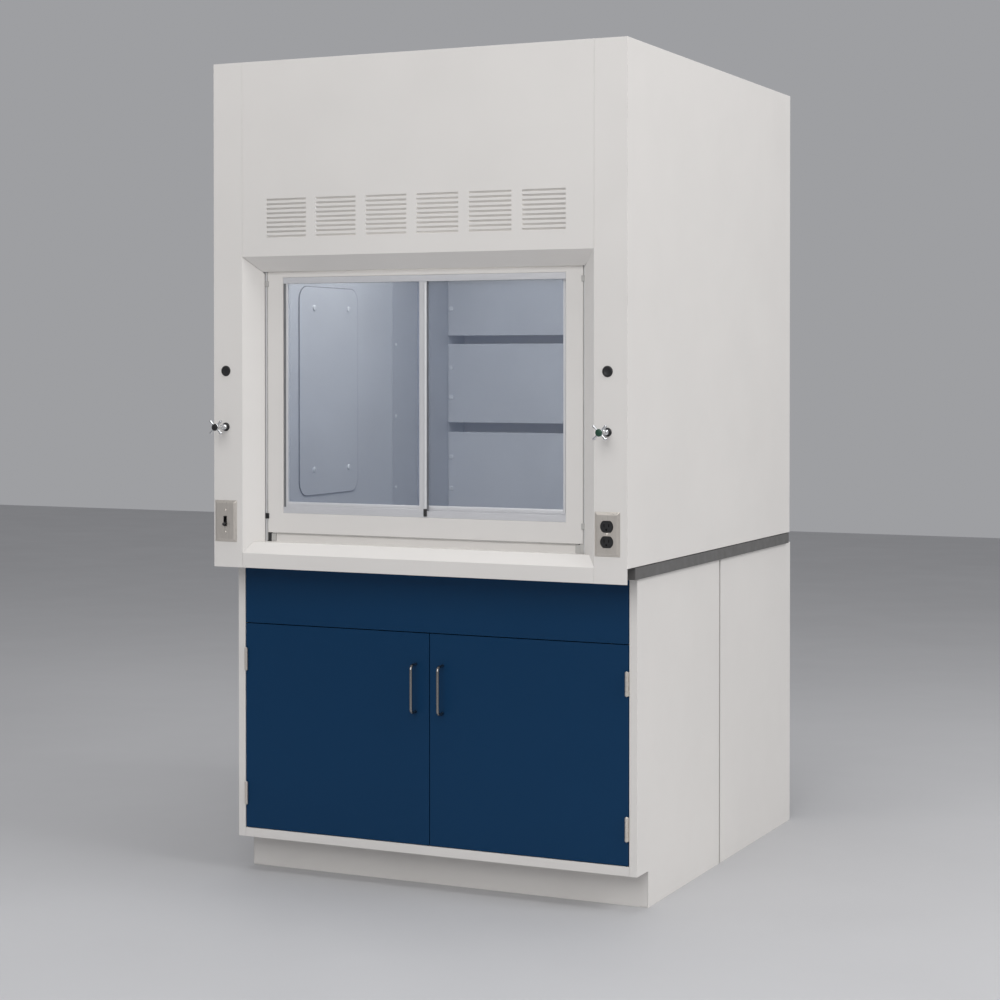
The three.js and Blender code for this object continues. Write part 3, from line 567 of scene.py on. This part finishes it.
def toggle_switch():
    """A bat-shaped lever, and the collar that it comes out of."""
    low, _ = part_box("switch_toggle")
    joint = joint_named("light_switch_tilt")
    pivot = Vector(joint["pos_m"])
    tilt = math.radians(joint["range_deg"][1]) / 2
    along = Vector((0, -math.cos(tilt), -math.sin(tilt)))
    length = (pivot.y - low.y) / math.cos(tilt) / MM - 1
    bat = [(0, 0), (3.8, 0), (3.4, 8), (3.3, 12), (3.9, 17), (4.3, length - 3), (3.4, length - 0.8),
           (0, length)]
    barrel = [(0, -6.6), (4.2, -6.6), (4.2, 6.6), (0, 6.6)]
    bm = bmesh.new()
    add_turned(bm, [(r * MM, h * MM) for r, h in bat], pivot, along, 20)
    add_turned(bm, [(r * MM, h * MM) for r, h in barrel], pivot, X_AXIS, 20)
    make("toggle_lever", bm, BLACK, "switch_toggle", 0.3 * MM, ("switch_toggle",))
    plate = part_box("switch_plate")[0].y
    bm = bmesh.new()
    for x, z, half_x, half_z in ((-4.4, 0, 0.5, 13.4), (4.4, 0, 0.5, 13.4), (0, 12.6, 4.9, 0.9),
                                 (0, -12.6, 4.9, 0.9)):
        add_box(bm, (pivot.x + (x - half_x) * MM, plate - 0.9 * MM, pivot.z + (z - half_z) * MM),
                (pivot.x + (x + half_x) * MM, FRONT + 2 * MM, pivot.z + (z + half_z) * MM))
    make("switch_collar", bm, BLACK, "frame", 0.2 * MM)
    bm = bmesh.new()
    add_box(bm, (pivot.x - 16 * MM, FRONT + 13 * MM, pivot.z - 34 * MM),
            (pivot.x + 16 * MM, FRONT + 34 * MM, pivot.z + 34 * MM))
    make("switch_body", bm, BLACK, "frame", 1.5 * MM)


# ---- Hinges ----
KNUCKLES = 5


def add_hinge_pin(bm, axis, bottom, top):
    """A pin through the knuckles, with a rounded head at each end."""
    pin = [(0, bottom - 1.6 * MM), (2.6 * MM, bottom - 1.2 * MM), (3.2 * MM, bottom + 0.1 * MM),
           (2.4 * MM, bottom + 0.2 * MM), (2.4 * MM, top - 0.2 * MM),
           (3.2 * MM, top - 0.1 * MM), (2.6 * MM, top + 1.2 * MM), (0, top + 1.6 * MM)]
    add_turned(bm, pin, (axis.x, axis.y, 0), Z_AXIS, 20)


def hinge(height, side):
    """A five-knuckle butt hinge: three knuckles and a leaf on the cabinet, the rest on the door."""
    node = f"hinge_{height}_{side}"
    low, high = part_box(node)
    sign = SIDES[side]
    axis = Vector(joint_named(f"door_{side}_hinge")["pos_m"])
    radius = axis.y - low.y
    step = (high.z - low.z) / KNUCKLES
    outer = high.x if sign > 0 else low.x
    door_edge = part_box(f"door_{side}")[1 if sign > 0 else 0].x
    leaves = {"frame": (outer - sign * 1.4 * MM, outer, high.y),
              f"door_{side}": (door_edge + sign * 0.05 * MM, door_edge + sign * 0.4 * MM,
                               high.y - 8 * MM)}
    meshes = {body: bmesh.new() for body in leaves}
    leaf_front = axis.y + radius + 0.3 * MM
    for i in range(KNUCKLES):
        owner = list(leaves)[i % 2]
        bottom = low.z + i * step + 0.2 * MM
        top = bottom + step - 0.4 * MM
        soft = 0.5 * MM
        profile = [(0, bottom), (radius - soft, bottom), (radius, bottom + soft),
                   (radius, top - soft), (radius - soft, top), (0, top)]
        add_turned(meshes[owner], profile, (axis.x, axis.y, 0), Z_AXIS, 24)
        x0, x1, _ = leaves[owner]
        add_box(meshes[owner], (x0, axis.y, bottom), (x1, leaf_front, top))
    for owner, (x0, x1, back) in leaves.items():
        add_box(meshes[owner], (x0, leaf_front, low.z), (x1, back, high.z))
    add_hinge_pin(meshes["frame"], axis, low.z, high.z)
    make(f"hinge_{height}_cabinet_leaf_{side}", meshes["frame"], STAINLESS, "frame",
         replaces=(node,))
    make(f"hinge_{height}_door_leaf_{side}", meshes[f"door_{side}"], STAINLESS, f"door_{side}")


# ---- Louvres ----
# These follow the slots that the header panel already has.
LOUVRE_GROUPS = 6
LOUVRE_ROWS = 9
LOUVRE_PITCH_X = 152 * MM
LOUVRE_PITCH_Z = 12.4 * MM
LOUVRE_LENGTH = 124 * MM
LOUVRE_ABOVE_LIP = 143 * MM


def louvre_fins():
    """A slanted fin behind each slot of the header, so that nothing shows through it."""
    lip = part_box("header_panel")[0].z
    bm = bmesh.new()
    section = [(2.2, 4.6), (3.2, 5.2), (8.4, -5.4), (7.4, -6.0)]
    for group in range(LOUVRE_GROUPS):
        x = (group - (LOUVRE_GROUPS - 1) / 2) * LOUVRE_PITCH_X
        for row in range(LOUVRE_ROWS):
            z = lip + LOUVRE_ABOVE_LIP + (row - (LOUVRE_ROWS - 1) / 2) * LOUVRE_PITCH_Z
            outline = [(0, FRONT + y * MM, z + up * MM) for y, up in section]
            add_prism(bm, outline, (x - LOUVRE_LENGTH / 2, 0, 0), (x + LOUVRE_LENGTH / 2, 0, 0))
    make("louvre_fins", bm, WHITE, "frame", 0.3 * MM)


# ---- Work chamber ----
ACCESS_SCREWS_ALONG = (0.24, 0.83)
ACCESS_SCREWS_UP = (0.12, 0.90)
ACCESS_CORNER = 40 * MM


def rounded_loop(low, high, radius, steps=8):
    """Points of a rounded rectangle as (u, v) pairs, anticlockwise."""
    corners = ((high[0], high[1]), (low[0], high[1]), (low[0], low[1]), (high[0], low[1]))
    inward = ((-1, -1), (1, -1), (1, 1), (-1, 1))
    points = []
    for quarter, ((u, v), (du, dv)) in enumerate(zip(corners, inward)):
        for i in range(steps + 1):
            angle = math.pi / 2 * (quarter + i / steps)
            points.append((u + du * radius + radius * math.cos(angle),
                           v + dv * radius + radius * math.sin(angle)))
    return points


def access_panel_trim(side):
    """The gasket round an access panel, and its four screws."""
    sign = SIDES[side]
    low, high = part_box(f"access_panel_{side}")
    face = low.x if sign > 0 else high.x
    bm = bmesh.new()
    loop = rounded_loop((low.y, low.z), (high.y, high.z), ACCESS_CORNER)
    add_tube(bm, [(face + sign * 1.9 * MM, y, z) for y, z in loop], 1.8 * MM, 8, True)
    make(f"access_gasket_{side}", bm, GASKET, "frame")
    places = [(face, low.y + (high.y - low.y) * along, low.z + (high.z - low.z) * up)
              for along in ACCESS_SCREWS_ALONG for up in ACCESS_SCREWS_UP]
    screws(f"access_screws_{side}", places, -sign * X_AXIS, 8 * MM, "frame", SCREW_CAP)


REAR_LINING_FRONT = FRONT + 837 * MM
REAR_LINING_SCREWS = 5


def rear_side_lining(side):
    """The thin second sheet on the rear part of a side lining, with the screws along its edge. Its
    darker lining colour is painted shade, for the dimmer rear of the chamber.
    """
    sign = SIDES[side]
    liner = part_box(f"liner_{side}")
    inner = liner[0].x if sign > 0 else liner[1].x
    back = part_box("baffle_lower")[0].y - 2 * MM
    bm = bmesh.new()
    add_box(bm, (inner - sign * 0.2 * MM, REAR_LINING_FRONT, WORKTOP_TOP + 1 * MM),
            (inner - sign * 2.2 * MM, back, CHAMBER_TOP - 1 * MM))
    make(f"rear_side_lining_{side}", bm, LINING_PAINTED_SHADE, "frame", 0.5 * MM)
    places = []
    for i in range(REAR_LINING_SCREWS):
        z = WORKTOP_TOP + (0.12 + 0.19 * i) * (CHAMBER_TOP - WORKTOP_TOP)
        places.append((inner - sign * 2.2 * MM, REAR_LINING_FRONT + 22 * MM, z))
    screws(f"rear_lining_screws_{side}", places, -sign * X_AXIS, 5 * MM, "frame", SCREW_CAP)


SLOT_FLANGE = 14 * MM
SCREWED_HEIGHT = 0.27  # a taller baffle has its screws in this much of its lower end


def baffle_trim():
    """The flanges folded back along the baffle slots, and the baffles' screws."""
    bm = bmesh.new()
    places = []
    face, back = (corner.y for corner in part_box("baffle_lower"))
    slotted_edges = {"baffle_lower": (True, True), "baffle_middle": (True, True),
                     "baffle_upper": (False, True)}
    for node, (slot_above, slot_below) in slotted_edges.items():
        low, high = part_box(node)
        edges = ([(high.z, -1)] if slot_above else []) + ([(low.z, 1)] if slot_below else [])
        for edge, inward in edges:
            add_box(bm, (low.x + 0.5 * MM, back + 0.2 * MM, edge),
                    (high.x - 0.5 * MM, back + SLOT_FLANGE, edge + inward * 1.8 * MM))
        tall = min(high.z - low.z, SCREWED_HEIGHT)
        for share in (0.32, 0.7):
            for side in SIDES.values():
                places.append((side * (high.x - 11 * MM), face, low.z + tall * share))
    make("baffle_flanges", bm, LINING, "frame", 0.4 * MM)
    screws("baffle_screws", places, -Y_AXIS, 8 * MM, "frame", SCREW_CAP)


LAMP_HEIGHT = 75 * MM
LAMP_SHEET = 1.5 * MM
LAMP_BRIM = 14 * MM
LAMP_TAPER = 22 * MM
TUBE_FROM_EDGE = 70 * MM


def lamp():
    """Two tubes under a folded steel housing, over the lens."""
    low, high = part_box("light_lens")
    floor = high.z + 0.4 * MM
    brim_top = floor + LAMP_SHEET
    top = floor + LAMP_HEIGHT
    under_top = top - LAMP_SHEET
    step = 1 * MM
    front, back = low.y, high.y
    section = [(front - LAMP_BRIM, floor), (front, floor), (front + LAMP_TAPER, under_top),
               (back - LAMP_TAPER, under_top), (back, floor), (back + LAMP_BRIM, floor),
               (back + LAMP_BRIM, brim_top), (back + step, brim_top),
               (back + step - LAMP_TAPER, top), (front - step + LAMP_TAPER, top),
               (front - step, brim_top), (front - LAMP_BRIM, brim_top)]
    outline = [(0, y, z) for y, z in section]
    bm = bmesh.new()
    add_prism(bm, outline, (low.x, 0, 0), (high.x, 0, 0))
    make("lamp_housing", bm, WHITE, "frame", 0.3 * MM)
    bm = bmesh.new()
    for y in (front + TUBE_FROM_EDGE, back - TUBE_FROM_EDGE):
        tube = [(0, 0), (3, 0), (3, 8), (12, 10), (13, 12), (13, 768), (12, 770), (3, 772),
                (3, 780), (0, 780)]
        add_turned(bm, [(r * MM, h * MM) for r, h in tube], (low.x + 30 * MM, y, floor + 34 * MM),
                   X_AXIS, 20)
    make("lamp_tubes", bm, OPAL, "frame")


# ---- Sash details ----
GLIDE_FROM_BOTTOM = 45 * MM
GLIDE_FROM_TOP = 60 * MM
GLIDE_HALF = 7.5 * MM


def sash_trim():
    """Glides on the sash's corners, wipers in the gap beside it and the seal under it."""
    low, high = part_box("sash_frame")
    for side, sign in SIDES.items():
        edge = high.x if sign > 0 else low.x
        for height, z in (("lower", low.z + GLIDE_FROM_BOTTOM), ("upper", high.z - GLIDE_FROM_TOP)):
            # Painted shade: only the lower left glide is black, for the shade of the gap beside the
            # post; the other glides are pale vinyl.
            black = side == "left" and height == "lower"
            bm = bmesh.new()
            add_box(bm, (edge - sign * 4 * MM, low.y - 2.6 * MM, z - GLIDE_HALF),
                    (edge + sign * 7.5 * MM, low.y - 0.1 * MM, z + GLIDE_HALF))
            make(f"sash_glide_{height}_{side}", bm, BLACK if black else PALE_VINYL, "sash",
                 0.8 * MM)
        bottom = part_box(f"sash_track_{side}")[0].z + 2 * MM
        bm = bmesh.new()
        add_box(bm, (edge + sign * 0.6 * MM, low.y + 0.5 * MM, bottom),
                (edge + sign * 2.9 * MM, low.y + 6 * MM, CHAMBER_TOP))
        make(f"sash_wiper_{side}", bm, PALE_VINYL, "frame", 0.6 * MM)
    bm = bmesh.new()
    inset = 13 * MM
    add_box(bm, (low.x + inset, low.y + 0.8 * MM, low.z - 2.6 * MM),
            (high.x - inset, low.y + 9 * MM, low.z - 0.1 * MM))
    make("sash_bottom_seal", bm, PALE_VINYL, "sash", 0.9 * MM)


def riser_end_seals():
    """Vinyl blocks that close the gap between the sill's riser and each sash stop."""
    for side, sign in SIDES.items():
        low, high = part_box(f"sash_stop_{side}")
        inner = low.x if sign > 0 else high.x
        bm = bmesh.new()
        add_box(bm, (inner - sign * 0.2 * MM, low.y + 1 * MM, low.z + 0.2 * MM),
                (inner - sign * 13.6 * MM, low.y + 6 * MM, high.z - 3 * MM))
        make(f"riser_end_seal_{side}", bm, PALE_VINYL, "frame", 0.5 * MM)


PANE_EDGE = 10.5 * MM


def pane_edges():
    """The grey seals and bright strips on the panes' outer edges."""
    for side, sign in SIDES.items():
        low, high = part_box(f"pane_{side}")
        edge = high.x if sign > 0 else low.x
        front, back = low.y - 0.9 * MM, high.y + 0.9 * MM
        for name, start, end, material, slot in (
                ("seal", 1.8 * MM, -3.6 * MM, GASKET, "rubber"),
                ("strip", -3.8 * MM, -PANE_EDGE, ALUMINIUM_Z, "aluminium")):
            bm = bmesh.new()
            add_box(bm, (edge + sign * start, front, low.z + 1 * MM),
                    (edge + sign * end, back, high.z - 1 * MM))
            make(f"pane_{side}_edge_{name}", bm, material, f"pane_{side}", 0.5 * MM)


def pane_rails():
    """The grooved rail that each pane stands in. It shows above the channel."""
    strip_low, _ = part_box("pane_edge_strip")
    for side in SIDES:
        low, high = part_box(f"pane_{side}")
        front, back = low.y - 0.9 * MM, high.y + 0.9 * MM
        section = [(front, 0.5), (front, 17), (front + 0.6 * MM, 17.3), (front + 0.6 * MM, 18.3),
                   (front, 18.6), (front, 25.5), (front + 1 * MM, 27), (back - 1 * MM, 27),
                   (back, 25.5), (back, 0.5)]
        start = low.x + PANE_EDGE + 0.2 * MM if side == "left" else low.x + 0.5 * MM
        end = strip_low.x - 0.2 * MM if side == "left" else high.x - PANE_EDGE - 0.2 * MM
        bm = bmesh.new()
        add_prism(bm, [(0, y, low.z + up * MM) for y, up in section], (start, 0, 0), (end, 0, 0))
        make(f"pane_{side}_rail", bm, ALUMINIUM_X, f"pane_{side}", 0.2 * MM)


def pane_free_edge():
    """On the front pane's strip: a rounded finger rib, a grey strip beside it as painted shadow and
    reflection, and the guide block.
    """
    low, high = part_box("pane_edge_strip")
    clear = 17 * MM
    half = 4.6 * MM
    rise = 2.5 * MM
    rib_x = high.x - half - 0.6 * MM
    angles = [math.pi * i / 10 for i in range(11)]
    arc = [(rib_x + half * math.cos(a), low.y - rise * math.sin(a), 0) for a in angles]
    bm = bmesh.new()
    add_prism(bm, arc, (0, 0, low.z + clear), (0, 0, high.z - clear))
    make("pane_finger_rib", bm, ALUMINIUM_Z, "pane_left", 0.2 * MM)
    # Painted shadow and reflection: this grey strip stands for the edge strip's shadow and its mirror
    # image in the rear pane.
    bm = bmesh.new()
    add_box(bm, (high.x + 0.1 * MM, low.y + 0.2 * MM, low.z + 1 * MM),
            (high.x + 1.6 * MM, high.y - 0.2 * MM, high.z - 1 * MM))
    make("pane_painted_shadow_seal", bm, GASKET, "pane_left", 0.3 * MM)
    bm = bmesh.new()
    channel_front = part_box("sash_bottom_channel")[0].y
    left, right = high.x - 7 * MM, high.x + 1.5 * MM
    add_box(bm, (left, channel_front - 4 * MM, low.z - 1 * MM),
            (right, channel_front - 0.3 * MM, low.z + 19 * MM))
    add_box(bm, (left, channel_front - 0.4 * MM, low.z + 14.5 * MM),
            (right, low.y - 0.1 * MM, low.z + 19 * MM))
    make("pane_guide_block", bm, RUBBER, "pane_left", 0.5 * MM)


CABLE_RADIUS = 1.6 * MM


def cable_run(name, side, x, low, high):
    """A straight run of wire rope from low to high, on no body."""
    y = middle(f"sash_cable_{side}").y
    steps = 30
    bm = bmesh.new()
    points = [(x, y, low + (high - low) * i / steps) for i in range(steps + 1)]
    add_tube(bm, points, CABLE_RADIUS, 10)
    piece = make(name, bm, ZINC, "frame", rides=False)
    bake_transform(piece)


def sash_cable(side):
    """The rope from the sash, over its pulley, to the counterweight."""
    node = f"sash_cable_{side}"
    low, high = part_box(node)
    sign = SIDES[side]
    pulley = middle(f"pulley_{side}")
    inner, outer = ((low.x, high.x) if sign > 0 else (high.x, low.x))
    inner += sign * CABLE_RADIUS
    outer -= sign * CABLE_RADIUS
    reach = (outer - inner) / 2
    y = middle(node).y
    bm = bmesh.new()
    steps = 20
    arc = []
    for i in range(steps + 1):
        angle = math.pi * (1 - i / steps)
        arc.append((pulley.x + reach * math.cos(angle), y, pulley.z + abs(reach) * math.sin(angle)))
    add_tube(bm, arc, CABLE_RADIUS, 10)
    make(f"cable_over_pulley_{side}", bm, ZINC, "frame", replaces=(node,))
    weight_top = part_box(f"counterweight_{side}")[1].z
    cable_run(f"cable_to_sash_{side}", side, inner, low.z, pulley.z)
    cable_run(f"cable_to_weight_{side}", side, outer, weight_top, pulley.z)
    cable_clamps(side, inner, outer, low.z, weight_top)


def cable_clamps(side, inner, outer, sash_end, weight_end):
    """The clamps on the rope's two ends. The sash's clamp has a tab to the sash."""
    y = middle(f"sash_cable_{side}").y
    sign = SIDES[side]
    bm = bmesh.new()
    clamp = [(0, 0), (3.4, 0), (4.2, 1), (4.2, 15), (2.6, 19), (0, 19)]
    add_turned(bm, [(r * MM, h * MM) for r, h in clamp], (outer, y, weight_end), Z_AXIS, 16)
    make(f"weight_clamp_{side}", bm, ZINC, f"counterweight_{side}")
    bm = bmesh.new()
    add_turned(bm, [(r * MM, h * MM) for r, h in clamp], (inner, y, sash_end), Z_AXIS, 16)
    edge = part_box("sash_frame")[1 if sign > 0 else 0].x
    add_box(bm, (edge - sign * 1 * MM, y - 3 * MM, sash_end - 8 * MM),
            (inner + sign * 5 * MM, y + 3 * MM, sash_end + 1 * MM))
    make(f"sash_clamp_{side}", bm, ZINC, "sash", 0.4 * MM)


# ---- Inside the cabinet ----
def door_lining(side):
    """The inner pan that closes a door's back, and its catch plate."""
    low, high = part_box(f"door_{side}")
    inset = 3.2 * MM
    bm = bmesh.new()
    add_box(bm, (low.x + inset, high.y - 4 * MM, low.z + inset),
            (high.x - inset, high.y - 2.4 * MM, high.z - inset))
    make(f"door_inner_pan_{side}", bm, WHITE, f"door_{side}", 0.5 * MM)
    sign = SIDES[side]
    free = low.x if sign > 0 else high.x
    bm = bmesh.new()
    add_box(bm, (free + sign * 40 * MM, high.y - 2.4 * MM, high.z - 34 * MM),
            (free + sign * 80 * MM, high.y - 1 * MM, high.z - 20 * MM))
    make(f"catch_plate_{side}", bm, ZINC, f"door_{side}", 0.4 * MM)


CLIP_FROM_EDGE = 50 * MM
CLIP_HALF = 9 * MM


def shelf_clips():
    """Four folded clips under the shelf's ends."""
    low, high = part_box("shelf")
    bm = bmesh.new()
    for sign in SIDES.values():
        wall = sign * (high.x + 3.6 * MM)
        for y in (low.y + CLIP_FROM_EDGE, high.y - CLIP_FROM_EDGE):
            front, back = y - CLIP_HALF, y + CLIP_HALF
            add_box(bm, (wall, front, high.z - 24 * MM), (wall - sign * 2 * MM, back, high.z - 3 * MM))
            add_box(bm, (wall, front, high.z - 4.4 * MM),
                    (wall - sign * 16 * MM, back, high.z - 2.6 * MM))
    make("shelf_clips", bm, ZINC, "frame", 0.4 * MM)


# ---- Outer fasteners ----
def spaced(low, high, count):
    """Evenly spaced places from low to high."""
    return [low + (high - low) * i / (count - 1) for i in range(count)]


SHELL_SCREW = 4.2 * MM


def shell_screws():
    """Screws round the roof, the back panel and the collar's flange, clear of each other."""
    edge = 14 * MM
    low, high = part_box("roof_panel")
    roof = [(x, y, high.z) for y in (low.y + edge, high.y - edge)
            for x in spaced(low.x + edge, high.x - edge, 7)]
    roof += [(x, y, high.z) for x in (low.x + edge, high.x - edge)
             for y in spaced(low.y + edge, high.y - edge, 8)[1:-1]]
    collar = middle("exhaust_collar")
    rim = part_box("exhaust_collar")[1].x - collar.x
    roof = [place for place in roof if math.dist(place[:2], collar[:2]) > rim + edge]
    screws("roof_screws", roof, Z_AXIS, SHELL_SCREW, "frame")
    low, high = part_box("back_panel")
    back = [(x, high.y, z) for z in (low.z + edge, high.z - edge)
            for x in spaced(low.x + edge, high.x - edge, 7)]
    back += [(x, high.y, z) for x in (low.x + edge, high.x - edge)
             for z in spaced(low.z + edge, high.z - edge, 8)[1:-1]]
    screws("back_screws", back, Y_AXIS, SHELL_SCREW, "frame")
    ring = []
    for i in range(8):
        angle = 2 * math.pi * (i + 0.5) / 8
        ring.append((collar.x + (rim - edge) * math.cos(angle),
                     collar.y + (rim - edge) * math.sin(angle), HOOD_TOP + 2.3 * MM))
    screws("collar_screws", ring, Z_AXIS, SHELL_SCREW, "frame")


# ---- Camera, light and floor ----
def place_camera():
    """The camera, fitted to the photo's view of the hood's corners."""
    scene = bpy.context.scene
    scene.view_settings.view_transform = "Standard"
    data = bpy.data.cameras.new("camera")
    data.lens = 78.4
    data.shift_y = -0.106
    camera = bpy.data.objects.new("camera", data)
    camera.location = (2.630, -5.759, 1.411)
    camera.rotation_euler = (math.radians(89.23), 0, math.radians(25.0))
    scene.collection.objects.link(camera)
    scene.camera = camera


def light_scene():
    """An even pale world, three soft studio lamps and the glow under the chamber's lens."""
    scene = bpy.context.scene
    world = bpy.data.worlds.new("studio")
    world.use_nodes = True
    background = world.node_tree.nodes["Background"]
    background.inputs["Color"].default_value = (0.95, 0.96, 1.0, 1)
    background.inputs["Strength"].default_value = 0.36
    scene.world = world

    lamps = (("key", (1.2, -6.0, 4.4), 4.2, 175), ("side", (6.2, -0.6, 4.6), 3.6, 230),
             ("top", (0.0, -0.4, 5.6), 3.2, 110))
    for name, place, size, power in lamps:
        light = bpy.data.lights.new(name, "AREA")
        light.size = size
        light.energy = power
        light_object = bpy.data.objects.new(name, light)
        light_object.location = place
        aim = Vector((0, 0, 1.2)) - Vector(place)
        light_object.rotation_euler = aim.to_track_quat("-Z", "Y").to_euler()
        scene.collection.objects.link(light_object)

    glow = bpy.data.lights.new("chamber_glow", "AREA")
    glow.shape = "RECTANGLE"
    glow.size = 0.8
    glow.size_y = 0.5
    glow.energy = 7
    glow_object = bpy.data.objects.new("chamber_glow", glow)
    lens = middle("light_lens")
    glow_object.location = (lens.x, lens.y, CHAMBER_TOP - 0.03)
    scene.collection.objects.link(glow_object)


def lay_floor():
    """A plain pale floor, much wider than the hood."""
    ground = Finish("pale_floor", 0.6)
    ground.colour(ground.mottled((0.50, 0.50, 0.51), 0.02, 0.8))
    ground.rough(0.1, 3)
    bm = bmesh.new()
    half = 12
    add_box(bm, (-half, -half, -0.02), (half, half, 0))
    mesh = bpy.data.meshes.new("floor")
    bm.to_mesh(mesh)
    bm.free()
    mesh.materials.append(ground.material)
    floor = bpy.data.objects.new("floor", mesh)
    bpy.context.scene.collection.objects.link(floor)


place_camera()
light_scene()
lay_floor()
dress_all()
for side, disc in (("left", BLACK), ("right", GREEN)):
    hole_plug(side)
    valve(side)
    valve_handle(side, disc)
    for height in ("upper", "lower"):
        hinge(height, side)
plate_screws("outlet_plate_screw", "outlet_plate", (0,))
plate_screws("switch_plate_screws", "switch_plate", (-30 * MM, 30 * MM))
outlet_slots()
toggle_switch()
louvre_fins()
for side in SIDES:
    access_panel_trim(side)
    rear_side_lining(side)
    sash_cable(side)
    door_lining(side)
baffle_trim()
lamp()
sash_trim()
riser_end_seals()
pane_edges()
pane_rails()
pane_free_edge()
shelf_clips()
shell_screws()
